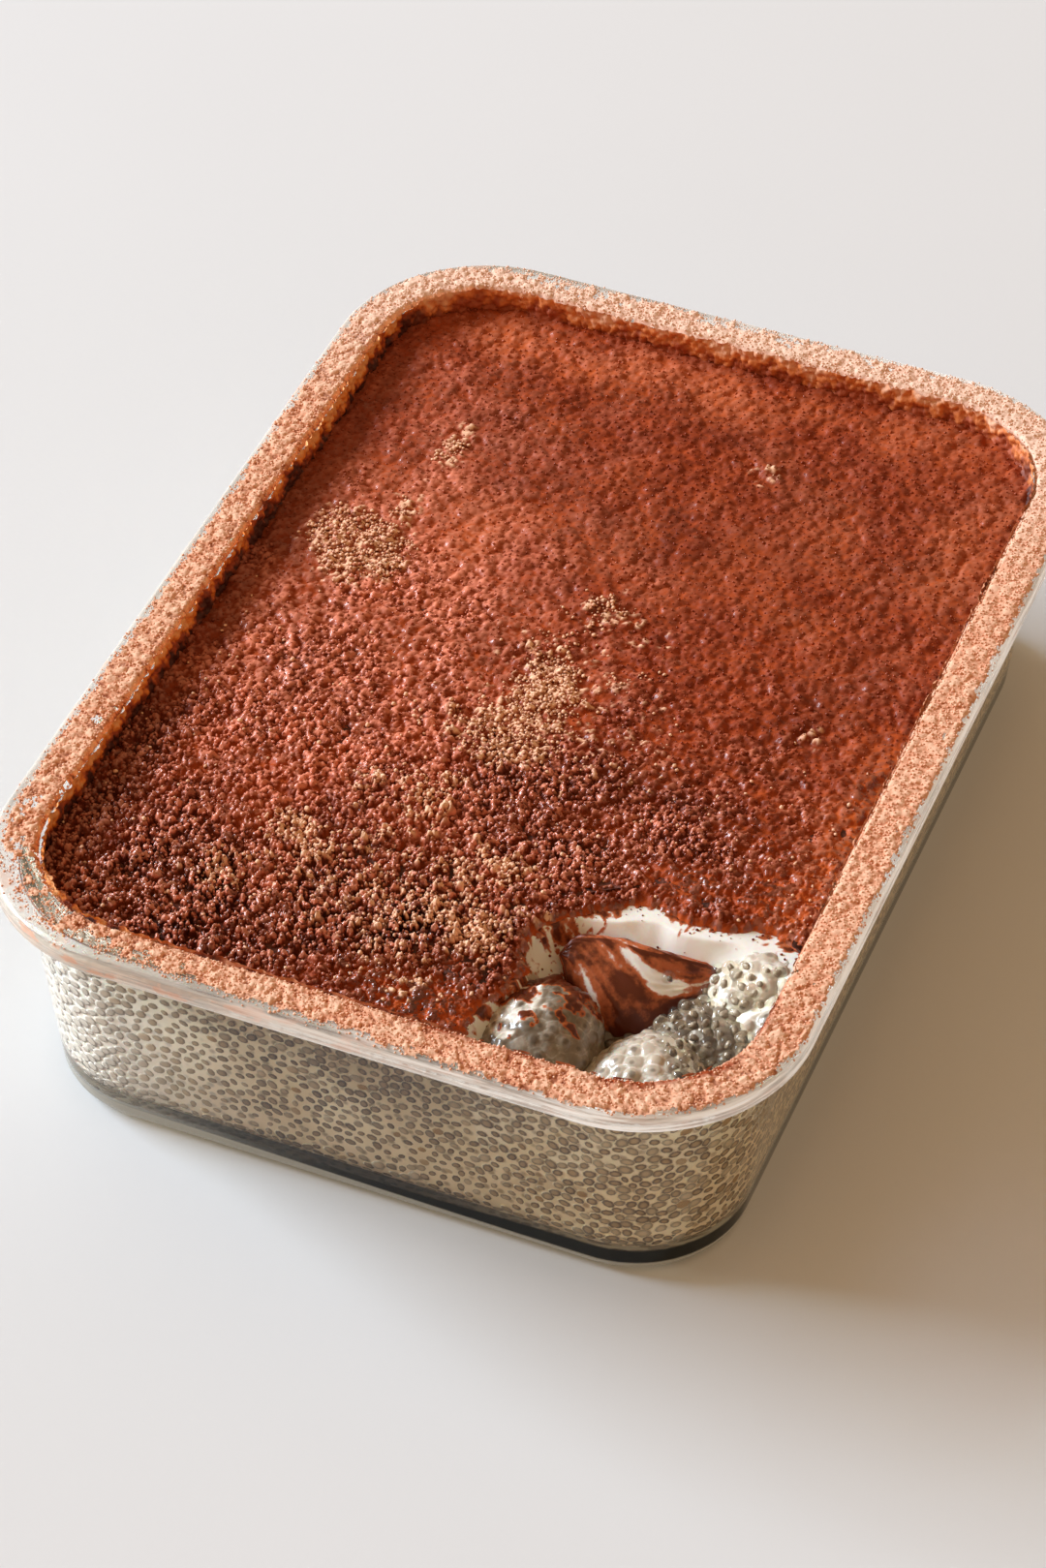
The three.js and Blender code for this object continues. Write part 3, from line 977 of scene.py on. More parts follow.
# the seeds' own haze, together with the painted glare at the near left foot
haze = seedSkin.maths("MAXIMUM", seedSkin.attribute("haze"), paintedGlare(seedSkin) * 1.02)
ring = seedSkin.between(radial, 0.3, 0.72)
middleTone = seedSkin.blend(tone, (0.19, 0.110, 0.052), (0.41, 0.255, 0.13))
ringTone = seedSkin.blend(tone, (0.060, 0.031, 0.014), (0.18, 0.104, 0.050))
body = seedSkin.over(
    seedSkin.blend(ring, middleTone, ringTone),
    # painted light: lighter seeds toward the shaded right side
    (toRight(seedSkin) * 0.6, seedSkin.blend(ring, (0.54, 0.345, 0.16), (0.19, 0.11, 0.048))),
    (seedSkin.between(tone, 0.955, 0.975), (0.36, 0.19, 0.06)),  # a golden one here and there
    # painted shade: darker seeds on the left wall
    (leftWall(seedSkin) * 0.6, seedSkin.blend(ring, (0.13, 0.078, 0.038), (0.05, 0.028, 0.014))),
)
around = seedSkin.over(
    milkClouds(seedSkin),
    # painted light toward the shaded right side; the haze, with the painted glare; painted shade on the left
    # wall
    (toRight(seedSkin) * 0.75, milk["right"]),
    (seedSkin.between(haze, 0.45, 0.95), milk["white"]),
    (leftWall(seedSkin) * 0.75, milk["left"]),
)
covered = seedSkin.maths("MAXIMUM", seedSkin.between(radial, 0.76, 0.98), haze * 0.66)
setWithGlow(seedSkin, seedSkin.blend(covered, body, around))
for piece in (seedsOnWall, seedsOnFloor):
    finishPiece(piece, seedSkin)
print("seeds:", len(seedsOnWall.data.polygons), len(seedsOnFloor.data.polygons), "faces")

# Cocoa crust: moist beads over slow swells, dry tan crumbs in drifts, wet and smoother places, and a
# ragged edge where the spoon went in. Strips side by side, finer where the beads stand out most.
crust = {
    "strips": [  # from, to, pitch
        (-97, -75, 0.18), (-75, -53, 0.18), (-53, -28, 0.21), (-28, 32, 0.31), (32, 97, 0.31),
    ],
    "clump": (1.9, 23, 0.36, 0.2),  # each kind of bump: pitch, seed, spread of sizes, share left out
    "heap": (3.1, 19, 0.3, 0.3),
    "knob": (2.3, 20, 0.2, 0.8),
    "bead": (0.98, 24, 0.34, 0.13),
    "grain": (0.44, 25, 0.36, 0.1),
    "clumpHeight": 0.72,
    "knobHeight": 0.45,
    "beadHeight": 0.96,
    "grainHeight": 0.32,
    "swells": [(0.16, 5, 31), (0.2, 2.6, 32)],  # height, size and seed
    "intoWall": 0.22,
    "coarse": [  # middle, size, turn and strength: where beads stand apart over dark gaps
        ((-40, -80), (46, 26), 10, 1.0), ((-6, -70), (36, 24), 0, 1.0), ((14, -40), (40, 26), 0, 0.65),
        ((-40, -20), (30, 50), 0, 0.4), ((-60, -55), (9, 34), 0, 0.85),
    ],
    "dusty": [  # painted sheen: paler and pinker, where the window's light catches the moist beads
        ((-38, -8), (28, 54), 8, 1.5), ((-20, -42), (40, 20), 0, 0.7),
    ],
    "dry": [  # dry drifts
        ((0.5, -8.9), (7, 14), 20, 1.45), ((-2, -21), (12, 8), 0, 1.2), ((6, -55), (8, 10), 30, 0.85),
        ((-28, -56), (7, 6), 0, 0.8), ((4, -66), (9, 7), 0, 0.95), ((12.5, -52.5), (5, 6), 0, 0.9),
        ((2.5, 14.7), (9, 9), 0, 0.55), ((8, -85), (6, 5), 0, 0.6), ((-19.5, -42), (5, 5), 0, 0.7),
        ((-5, -66), (8, 6), 0, 0.75), ((-20.5, -61), (7, 5), 0, 0.75), ((-8, -40), (9, 9), 0, 0.7),
        ((-47, 17), (8, 10), 35, 1.9), ((-43, 29), (4, 6), 0, 0.75), ((-43, 24), (4, 6), 0, 0.7),
        ((-41, 49.5), (3, 8), 0, 0.95), ((16, 65.6), (4, 4), 0, 0.7), ((49, 0), (4, 4), 0, 0.55),
        ((-6, -62), (32, 24), 0, 0.6), ((-34, -72), (9, 7), 20, 0.6), ((12, -69), (8, 8), 30, 0.95),
        ((6, -8), (22, 30), 20, 0.46),
    ],
    "ember": [  # brighter orange; along the right edge a painted sheen
        ((-46, 86), (20, 7), 0, 0.9), ((60, 60), (7, 30), 0, 0.5), ((-10, 86), (60, 7), 0, 0.65),
        ((30, 50), (14, 20), 20, 0.25), ((62, -30), (6, 22), 0, 0.8), ((-30, 30), (16, 14), 0, 0.35),
    ],
    "shade": [  # painted shade, darker; along the left wall it stands for the rim's shadow
        ((8, 56), (58, 34), 0, 0.3), ((48, 10), (6, 28), 0, 0.5), ((6, 40), (10, 16), 30, 0.4),
        ((-30, -24), (14, 8), 0, 0.4), ((30, -24), (16, 8), 0, 0.4), ((-64, 5), (8, 80), 0, 1.1),
    ],
    "wet": [
        ((64.6, -23), (4.5, 26), 0, 1.0), ((10, -88), (14, 9), -10, 1.0), ((8, -76), (7, 4), 20, 0.6),
        ((60, -42), (10, 7), 0, 0.7), ((46, -43), (14, 5), 0, 0.6), ((-12, -95), (30, 3), 0, 0.7),
    ],
}


def unevenSpots(name, x, y, *layers):
    return unit(spots(x, y, crust[name]) + clouds(x, y, *layers))


def drynessOf(x, y, bead, tone):
    # how dry each bead is, and the drier knobs in the drifts
    drifts = spots(x, y, crust["dry"])
    dry = drifts * (0.8 + 0.5 * cloud(x, y, 3.2, 26)) + 0.1 * cloud(x, y, 14, 29)
    dry = step(dry + 0.42 * (tone - 0.5) + 0.3 * cloud(x, y, 1.3, 30), 0.48, 0.72)
    knob = beads(x, y, *crust["knob"])[0]
    lump = step(knob, 0.3, 0.55) * step(drifts, 0.3, 0.5)
    return np.maximum(dry, lump) * step(bead, 0.2, 0.55), lump, knob


def crustFields(x, y):
    # the crust's height over its level, and the shader's numbers for each place
    near = step(y, 45, -75)  # bolder at the near end
    wet = unevenSpots("wet", x, y, (0.35, 7, 21))
    coarse = unit(spots(x, y, crust["coarse"]) + 0.18 * cloud(x, y, 9, 35) - 0.5 * wet)
    rough = (0.42 + 0.86 * coarse + 0.16 * cloud(x, y, 11, 22)) * (1 - 0.4 * wet) * (0.45 + 0.85 * near)
    warped = x + 0.22 * cloud(x, y, 0.9, 27), y + 0.22 * cloud(x, y, 0.9, 28)
    bead, tone = beads(*warped, *crust["bead"])
    grain = beads(*warped, *crust["grain"])[0]
    clump, heap = [beads(x, y, *crust[kind])[0] for kind in ("clump", "heap")]
    dry, lump, knob = drynessOf(x, y, bead, tone)
    height = swell(x, y, insetOf(x, y)) + 0.24 * cloud(x / 1.4, y * 1.2, 7, 30)
    height = height + clouds(x, y, *crust["swells"])
    height = height + crust["clumpHeight"] * (0.5 + 0.5 * rough) * (clump - 0.5)
    height = height + crust["knobHeight"] * rough * knob + (0.2 + 0.45 * coarse) * (heap - 0.45)
    height = height + crust["beadHeight"] * rough * (bead - 0.6)
    height = height + crust["grainHeight"] * (0.4 + 0.6 * rough) * (0.3 + 0.9 * near) * (grain - 0.6)
    height = height + 0.2 * dry + 0.35 * lump + 0.3 * step(x, 20, 60) * cloud(x, y, 2.2, 10)
    high = np.clip(0.62 * bead + 0.22 * clump + 0.3 * grain, 0, 1.2)
    return height, {
        "high": 0.62 + (high - 0.62) * (0.4 + 0.95 * near),
        "tone": tone,
        "dry": dry,
        "wet": wet,
        "coarse": coarse,
        "dusty": unevenSpots("dusty", x, y, (0.2, 8, 50)) * (1 - wet),
        "ember": unevenSpots("ember", x, y, (0.35, 9, 16)),
        "shade": unevenSpots("shade", x, y, (0.3, 6, 15)),
    }


def crustTop(x, y):
    # where the crust's surface is, sinking into the cream at the hollow's ragged edge
    height, own = crustFields(x, y)
    share, reach = hollowShare(x, y)
    ragged = clouds(x, y, (1.1, 4.0, 33), (0.6, 1.6, 34), (0.45, 0.8, 19))
    away = (share - 1) * reach + ragged + 0.4
    rise = unit(away / 2.1) ** 0.7
    foot = food["cream"] - 0.5
    own["wet"] = np.maximum(own["wet"], step(away, 2.4, 0.5) * 0.8)
    own["ember"] = np.maximum(own["ember"], step(away, 0.8, 0.1) * 0.6)
    return foot + (food["crust"] - foot) * rise + height * rise ** 2, away, own


def usedOnly(places, faces, attributes):
    used = np.zeros(len(places), bool)
    used[faces.ravel()] = True
    renumbered = np.cumsum(used) - 1
    return places[used], renumbered[faces], {key: values.ravel()[used] for key, values in attributes.items()}


crustInset = innerInset(food["crust"])
spanX = dish["width"] / 2 - crustInset + 0.6
spanY = dish["length"] / 2 - crustInset + 0.6
edgeInset = crustInset - crust["intoWall"]
crustPieces = []
for number, (low, high, pitch) in enumerate(crust["strips"], 1):
    low, high = max(low, -spanY), min(high, spanY)
    columns, rows = int(2 * spanX / pitch), int((high - low) / pitch) + 1
    x, y = np.meshgrid(np.linspace(-spanX, spanX, columns), np.linspace(low, high + 0.1, rows))
    inside = insetOf(x, y) > edgeInset - pitch * 0.9
    x, y = pullIn(x, y, edgeInset)
    z, away, own = crustTop(x, y)
    faces = gridFaces(rows, columns, inside & (away > -0.25))
    crustPieces.append(pieceFromArrays(f"cocoaCrust{number}", *usedOnly(meshPlaces(x, y, z), faces, own)))

cocoa = Finish("moistCocoa", IOR=1.45, Specular_IOR_Level=0.12, Coat_Roughness=0.15)
farther = cocoa.between(cocoa.along("Y"), -70, 30)
high = cocoa.attribute("high") + cocoa.stir(0.34 - farther * 0.24, 0.35, 2.0)
tone, dry, wet, coarse, dusty, ember, shade = [
    cocoa.attribute(name) for name in ("tone", "dry", "wet", "coarse", "dusty", "ember", "shade")]
# painted shade and light: near-black in the crevices between the beads, bright on their tops
beaded = cocoa.ramp(high, [
    (0.46, (0.003, 0.0006, 0.0005)), (0.58, (0.08, 0.009, 0.003)),
    (0.71, (0.58, 0.092, 0.034)), (0.86, (1.0, 0.41, 0.26)),
])
packedFine = cocoa.ramp(high, [
    (0.1, (0.48, 0.074, 0.013)), (0.4, (0.40, 0.062, 0.016)),
    (0.65, (0.30, 0.045, 0.015)), (1.0, (0.68, 0.175, 0.083)),
])
# painted shade: the crumbs dark where low between them
crumb = cocoa.ramp(high, [(0.3, (0.03, 0.006, 0.003)), (0.50, (0.58, 0.20, 0.09)), (0.74, (1.0, 0.60, 0.38))])
glowTone = cocoa.blend(high, (0.62, 0.11, 0.02), (0.34, 0.055, 0.018))
wetTone = cocoa.blend(cocoa.between(high, 0.4, 0.8), (0.50, 0.085, 0.016), (0.10, 0.014, 0.006))
emberTone = cocoa.blend(cocoa.between(high, 0.3, 0.9), (0.62, 0.12, 0.022), (0.78, 0.24, 0.12))
# painted shade: dark patches for the shaded gaps between clusters
paintedGapShade = cocoa.patches(2.6, 0.5, 0.36, 3.0, 0.6)
cocoa.set(Base_Color=cocoa.over(
    cocoa.blend(coarse, packedFine, beaded),
    (cocoa.patches(7, 0.44, 0.62) * (1 - coarse) * 0.32, (0.17, 0.022, 0.009)),
    (cocoa.patches(13, 0.45, 0.65) * (1 - coarse) * 0.35, glowTone),
    # painted sheen on the beads' tops
    (dusty * cocoa.between(high, 0.3, 0.8) * 0.9, (1.0, 0.32, 0.185)),
    (tone * 0.2, (0.13, 0.016, 0.006)),
    # painted shade in the gaps between clusters
    (paintedGapShade * (0.65 - dusty * 0.3) * (1 - farther * 0.5), (0.09, 0.012, 0.006)),
    (wet * 0.85, wetTone),
    # brighter orange, along the right edge a painted sheen
    (ember * 0.6, emberTone),
    # painted shade
    (shade * 0.5, (0.10, 0.013, 0.006)),
    (dry, crumb),
))
cocoa.set(Roughness=0.44 + dry * 0.5 - wet * 0.15 + cocoa.stir(0.25, 0.6))
cocoa.set(Coat_Weight=(1 - dry) * cocoa.between(high, 0.36, 0.72) * (0.12 + coarse * 0.85 + wet * 0.85))
cocoa.set(Normal=cocoa.bump(cocoa.noise(0.22, 3.0, 0.6) * (1 - farther * 0.6), 0.13, 0.8))
for piece in crustPieces:
    finishPiece(piece, cocoa)
print("crust:", sum(len(piece.data.polygons) for piece in crustPieces) * 2, "triangles")

# Loose beads and crumbs on the crust: small uneven balls half sunk in it. The beads are big and proud
# where the crust is coarse, fine elsewhere; the crumbs lie in the dry drifts.
loose = {
    "tries": 90000,
    "most": 9900,
    "coarse": {"gap": 0.66, "size": (0.2, 0.56), "skew": 2.2, "sink": 0.1, "high": (0.5, 0.68)},
    "fine": {"gap": 0.95, "size": (0.16, 0.34), "skew": 2.2, "sink": 0.25, "high": (0.5, 0.4)},
    "dry": {"gap": 0.5, "size": (0.17, 0.5), "skew": 1.3, "sink": 0.0, "high": (0.8, 0.36)},
    "under": 0.56,  # painted shade: how bright they are underneath
}
grainShape = ballShape(1)


def grainMesh(name, middles, radius, own, seed):
    rng = np.random.default_rng(seed)
    count = len(middles)
    sizes = radius[:, None] * rng.uniform(0.65, 1.25, (count, 3))
    turns = turnsTo(rng.standard_normal((count, 3)), rng.uniform(0, math.pi, count))
    places, faces, own = copies(grainShape, middles, sizes, turns, own)
    corners = len(grainShape[0])
    # painted shade: each grain darker on its lower half
    up = (places[:, 2] - np.repeat(middles[:, 2], corners)) / np.repeat(radius, corners)
    own["high"] = own["high"] * (loose["under"] + (1 - loose["under"]) * np.clip(up * 1.3, -1, 1))
    return pieceFromArrays(name, places, faces, own)


def grainChance(kind, x, y, own):
    # how likely a grain of this kind is at each place
    if kind == "coarse":
        return unit(own["coarse"] * 1.2 - 0.15 - 0.6 * own["wet"])
    if kind == "fine":
        return unit(0.45 - own["coarse"] - 0.2 * own["wet"]) * step(own["high"], 0.2, 0.6)
    drifts = spots(x, y, crust["dry"]) + clouds(x, y, (0.34, 2.6, 36), (0.12, 9.0, 37))
    return unit(step(drifts, 0.42, 0.95) + 0.012 * step(y, 5, -25))


def looseOnCrust(name, kind, seed):
    rng = np.random.default_rng(seed)
    settings = loose[kind]
    x, y = [rng.uniform(-span, span, loose["tries"]) for span in (spanX, spanY)]
    z, away, own = crustTop(x, y)
    fits = (insetOf(x, y) > crustInset + 0.5) & (away > 0.5)
    fits &= rng.random(len(x)) < grainChance(kind, x, y, own)
    places = np.stack([x, y, z], axis=1)[fits]
    kept = keepApart(places * [1, 1, 0], settings["gap"])[:loose["most"]]
    places, own = places[kept], {key: values[fits][kept] for key, values in own.items()}
    smallest, biggest = settings["size"]
    radius = smallest + (biggest - smallest) * rng.random(len(kept)) ** settings["skew"]
    places[:, 2] += radius * (0.5 - settings["sink"])
    own["tone"] = rng.random(len(kept))
    high = settings["high"][0] + settings["high"][1] * own["tone"]
    own["high"] = 0.66 + (high - 0.66) * (0.35 + 0.65 * step(places[:, 1], 30, -50))
    own["dry"] = np.maximum(own["dry"] * 0.3, (kind == "dry") * (0.8 + 0.2 * own["tone"]))
    piece = grainMesh(name, places, radius, own, seed + 1)
    finishPiece(piece, cocoa)
    print(name, len(piece.data.polygons), "triangles")


looseOnCrust("coarseBeads", "coarse", 38)
looseOnCrust("fineBeads", "fine", 57)
looseOnCrust("dryCrumbs", "dry", 40)

# Dust on the rim: a thin, lumpy, matt skin with bare places, thinning out to single grains at its edges.
rimDust = {
    "pitch": 0.26,
    "from": 1.8,
    "to": 8.7,
    "thick": 0.78,
    "bare": [
        ((66, -62), (1.2, 5), 0, 0.7), ((-61, -92), (16, 7), -48, 0.9),
        ((-44, -100.8), (20, 3.0), -5, 0.85), ((-71, -78), (4.0, 16), 5, 0.5),
        ((-67.4, -68.6), (1.6, 3), 0, 0.7), ((-68.4, -48.6), (1.2, 3), 0, 0.5),
        ((-30, -102.5), (14, 2.0), 0, 0.5), ((0, 100.5), (46, 1.4), 0, 0.5),
        ((-40, 100), (16, 2.5), 0, 0.7), ((-2, -102.2), (14, 1.2), 0, 0.9),
    ],
    "wet": [  # where pudding has wetted it
        ((60.5, -88.5), (9, 1.6), 42, 1.1), ((50, -94.6), (6, 1.7), 12, 1.2),
        ((33, -95.6), (8, 1.5), 0, 1.0), ((17, -95.6), (9, 1.4), 0, 0.9), ((66.2, -71), (1.3, 8), 0, 0.9),
    ],
}


def rimTop(inset):
    # the glass rim's top, falling away at its outer and inner edges
    outer = np.clip(dish["rimRound"] - inset, 0, dish["rimRound"])
    inner = np.clip(inset - dish["rimWidth"] + dish["lipRound"], 0, dish["lipRound"])
    fall = dish["rimRound"] - np.sqrt(dish["rimRound"] ** 2 - outer ** 2)
    return glassTop - fall - dish["lipRound"] + np.sqrt(dish["lipRound"] ** 2 - inner ** 2)


def dustCover(x, y, inset):
    # above 0 where dust lies
    outer = rimDust["from"] - 1.0 * np.maximum(step(x, 50, 72), step(x, -30, 5) * step(y, -60, -80))
    edges = np.minimum((inset - outer) / 1.3, (dish["rimWidth"] + 0.75 - inset) / 0.4)
    cover = np.minimum(edges, 0.75) - 1.15 * spots(x, y, rimDust["bare"])
    return cover + clouds(x, y, (0.34, 2.4, 41), (0.5, 0.9, 42), (0.12, 9, 43))


def rimFields(along, inset):
    # places on the dust, how well it covers the rim there, and the shader's numbers
    flat = outlineAt(along, inset)[0]
    x, y = flat[..., 0], flat[..., 1]
    clump = beads(x, y, 1.55, 44, 0.36, 0.18)[0]
    bead = beads(x, y, 0.6, 45, 0.36, 0.15)[0]
    cover = dustCover(x, y, inset)
    crumbly = np.clip(0.25 + step(-x, 20, 60) + 0.4 * cloud(x, y, 12, 18), 0.1, 1)
    front = step(y, -50, -85)
    relief = 0.14 + 0.14 * cloud(x, y, 3.0, 17) + (0.36 + 0.12 * crumbly) * clump
    relief = relief + (0.10 + 0.18 * crumbly + 0.16 * front) * bead
    relief = relief + (0.03 + 0.07 * crumbly + 0.07 * front) * cloud(x, y, 0.45, 46)
    z = rimTop(inset) + rimDust["thick"] * np.clip(relief * step(cover, -0.1, 0.35), 0.03, 1.0)
    plain = 0.45 * (1 - crumbly) * (1 - front)
    high = (0.55 * clump + 0.45 * bead) * (1 - plain) + 0.8 * plain
    wet = unit(spots(x, y, rimDust["wet"]) * 1.4 + 0.4 * cloud(x, y, 1.5, 47) - 0.3)
    return x, y, z, cover, {"high": high, "wet": wet}


dustRows = int((rimDust["to"] - rimDust["from"] + 1.0) / rimDust["pitch"])
dustColumns = int(outlineLength / rimDust["pitch"]) + 1
dustAlong = np.linspace(0, outlineLength, dustColumns)
dustAcross = np.linspace(rimDust["to"], rimDust["from"] - 1.0, dustRows)
x, y, z, cover, own = rimFields(*np.meshgrid(dustAlong, dustAcross))
faces = gridFaces(dustRows, dustColumns, cover > 0)
places = meshPlaces(x, y, np.minimum(z, dish["height"] - 0.02))
dust = pieceFromArrays("rimDust", *usedOnly(places, faces, own))

dryCocoa = Finish("dryCocoaDust", Roughness=0.95, Specular_IOR_Level=0.2)
# painted shade: the dust darker where low between its clumps
tan = dryCocoa.ramp(dryCocoa.attribute("high") + dryCocoa.stir(0.3, 0.3, 2.0), [
    (0.0, (0.34, 0.09, 0.038)), (0.28, (0.78, 0.34, 0.19)), (0.8, (0.96, 0.57, 0.38))])
dryCocoa.set(Base_Color=dryCocoa.over(
    tan,
    (dryCocoa.patches(0.55, 0.64, 0.72, 1.0) * 0.35, (0.36, 0.10, 0.04)),  # specks
    (dryCocoa.patches(16, 0.4, 0.7) * 0.3, (0.92, 0.58, 0.39)),
    (dryCocoa.between(dryCocoa.along("Y"), 40, 95) * 0.6, (0.96, 0.70, 0.55)),  # paler at the far end
    (dryCocoa.attribute("wet"), (0.36, 0.062, 0.014)),
))
dryCocoa.set(Normal=dryCocoa.bump(dryCocoa.noise(0.2), 0.08, 0.8))
finishPiece(dust, dryCocoa)
print("rim dust:", len(dust.data.polygons) * 2, "triangles")

# Single grains along the dust's edges and over its bare places.
rimGrains = {
    "tries": 60000,
    "gap": 0.5,
    "most": 9000,
    "size": (0.11, 0.3),
}
rng = np.random.default_rng(48)
along = rng.uniform(0, outlineLength, rimGrains["tries"])
inset = rng.uniform(0.5, dish["rimWidth"] + 0.1, rimGrains["tries"])
x, y, z, cover, own = rimFields(along, inset)
onDust, onGlass = 0.3 + 0.4 * step(cover, 0.5, 0.05), step(cover, -0.75, 0.0) * 0.6 + 0.04
chance = np.where(cover > 0, onDust, onGlass) * np.minimum((inset - 0.2) / 1.6, 1)
chosen = rng.random(len(x)) < chance
places = np.stack([x, y, np.where(cover > 0, z, rimTop(inset))], axis=1)[chosen]
places = places[keepApart(places, rimGrains["gap"])][:rimGrains["most"]]
radius = rng.uniform(*rimGrains["size"], len(places))
places[:, 2] = np.minimum(places[:, 2] + radius * 0.3, dish["height"] - radius * 1.25)
tone = rng.random(len(places))
grains = grainMesh("rimGrains", places, radius, {"high": 0.4 + 0.6 * tone, "wet": 0 * tone}, 49)
finishPiece(grains, dryCocoa)

# Cocoa clinging to the inside of the wall between the crust and the rim, ragged at the top. It is fullest at
# the left and the far end, and runs along under the rim.
stain = {
    "pitch": 0.35,
    "pitchUp": 0.3,
    "top": 51.1,
    "bottom": 45.6,
}
rows = int((stain["top"] - stain["bottom"]) / stain["pitchUp"])
columns = int(outlineLength / stain["pitch"]) + 1
heights = np.linspace(stain["bottom"], stain["top"], rows)
along, up = np.meshgrid(np.linspace(0, outlineLength, columns), heights)
flat = outlineAt(along, innerInset(up))[0]
x, y = flat[..., 0], flat[..., 1]
share = (up - food["crust"]) / (stain["top"] - food["crust"])
full = np.maximum(step(-x, 20, 50), step(y, 70, 90))
cover = 0.55 + 1.3 * full - 1.05 * share + 0.5 * cloud(along, up * 0.8, 5.0, 91)
cover = cover + 0.5 * cloud(along, up * 1.4, 1.5, 92) + 0.25 * cloud(along, up * 2, 0.6, 93)
cover = np.maximum(cover, full * step(up, 49.4, 49.8))
cover = np.maximum(cover, 0.8 * step(up, 50.0, 50.6) + 0.5 * cloud(along, up, 2.0, 94) - 0.35)
cover = cover - 0.55 * step(hollowShare(x, y)[0], 1.12, 0.98)
thick = 0.06 + 0.7 * unit(cover) * beads(along, up, 1.0, 95)[0]
thick = thick + 0.3 * unit(cover) * (1 + cloud(along, up, 2.2, 97))
flat = outlineAt(along, innerInset(up) + thick)[0]
# painted shade: high grows lower down the wall, toward the crust, and the colour darkens with it
high = unit(1 - share + 0.4 * cloud(along, up * 0.7, 1.2, 96) + 0.4 * cloud(along, up * 0.5, 3.5, 98))
own = {"high": high, "lit": full, "far": step(y, 78, 92)}
faces = gridFaces(rows, columns, cover > 0)
wallCocoa = pieceFromArrays("wallCocoa", *usedOnly(meshPlaces(flat[..., 0], flat[..., 1], up), faces, own))

stained = Finish("stainedCocoa", Roughness=0.6)
high = stained.attribute("high") + stained.stir(0.6, 0.8)
# painted shade darkens the cocoa lower down, under the rim; where lit, its top is a painted glow of the
# window's light through the glass; at the far end it is mottled
dull = [(0.1, (0.60, 0.24, 0.11)), (0.45, (0.36, 0.08, 0.022)), (0.9, (0.08, 0.012, 0.004))]
glowing = [
    (0.0, (0.92, 0.42, 0.15)), (0.2, (0.90, 0.26, 0.03)),
    (0.48, (0.42, 0.065, 0.01)), (0.85, (0.07, 0.010, 0.004)),
]
mottled = [(0.0, (0.95, 0.50, 0.30)), (0.4, (0.85, 0.25, 0.06)), (0.9, (0.42, 0.075, 0.02))]
stained.set(Base_Color=stained.over(
    stained.ramp(high, dull),
    (stained.attribute("lit"), stained.ramp(high, glowing)),
    (stained.attribute("far"), stained.ramp(high, mottled)),
))
stained.set(Normal=stained.bump(stained.noise(0.4), 0.1, 0.7))
finishPiece(wallCocoa, stained)
print("rim grains and wall cocoa:", len(grains.data.polygons), len(faces) * 2, "triangles")

# The spooned hollow and what stands in it share one wet finish: clear grey gel with dark seeds, a pale
# net between them, cream in places and cocoa smeared over it.
wetFood = Finish("gelAndCream", Roughness=0.32, IOR=1.4, Coat_Roughness=0.07,
                 Subsurface_Weight=0.25, Subsurface_Scale=0.0025)
seedAway = wetFood.attribute("seedAway") + wetFood.stir(0.35, 0.8)
creamy = wetFood.attribute("creamy") + wetFood.stir(0.4, 1.6, 4.0)
smear = wetFood.attribute("smear") + wetFood.stir(0.6, 0.7, 4.0, 0.65)
milky = wetFood.between(creamy, 0.0, 0.45)
net = wetFood.between(wetFood.attribute("net"), 0.25, 0.95) * (0.04 + milky * 0.86)
seeds = (1 - wetFood.between(seedAway, 0.42, 1.02)) * (0.93 - milky * 0.42)
wetFood.set(Base_Color=wetFood.over(
    wetFood.blend(wetFood.noise(3.5), (0.085, 0.06, 0.038), (0.27, 0.20, 0.135)),
    (milky * 0.8, (0.70, 0.60, 0.47)),
    (net, (0.88, 0.79, 0.67)),
    (seeds, wetFood.blend(wetFood.noise(0.9), (0.035, 0.024, 0.016), (0.17, 0.122, 0.08))),
    (wetFood.between(wetFood.along("Z"), 39, 27) * 0.6, (0.045, 0.030, 0.019)),  # painted shade, darker low down in the hollow
    (wetFood.between(creamy, 0.5, 0.72), (1.0, 0.945, 0.855)),
    (wetFood.between(smear, 0.15, 0.5) * 0.96, (0.50, 0.095, 0.009)),
    (wetFood.between(smear, 0.5, 1.0), (0.115, 0.019, 0.005)),
))
wetFood.set(Normal=wetFood.bump(wetFood.noise(0.7), 0.06, 0.5))
wetFood.set(Coat_Weight=(0.7 - wetFood.between(creamy, 0.5, 0.8) * 0.5) * (1 - smear * 0.7))


def nearestTwo(places, middles, atOnce=4000):
    # which middle is nearest each place, and how far off the two nearest are
    index = np.empty(len(places), int)
    away = np.empty((len(places), 2))
    for start in range(0, len(places), atOnce):
        part = slice(start, start + atOnce)
        every = np.linalg.norm(places[part, None, :] - middles[None, :, :], axis=2)
        near = np.argpartition(every, 1, axis=1)[:, :2]
        pair = np.take_along_axis(every, near, axis=1)
        order = np.argsort(pair, axis=1)
        index[part] = np.take_along_axis(near, order, axis=1)[:, 0]
        away[part] = np.take_along_axis(pair, order, axis=1)
    return index, away[:, 0], away[:, 1]


# The gel beads' dents and seeds, as shares of the gap between them or in millimetres.
studShape = {
    "size": (0.46, 0.8),
    "shift": 0.25,
    "seedLength": 1.15,
    "seedWidth": 0.8,
    "seedSize": (0.75, 1.5),
    "empty": 0.25,  # how many have no seed in sight
    "net": 0.3,
}


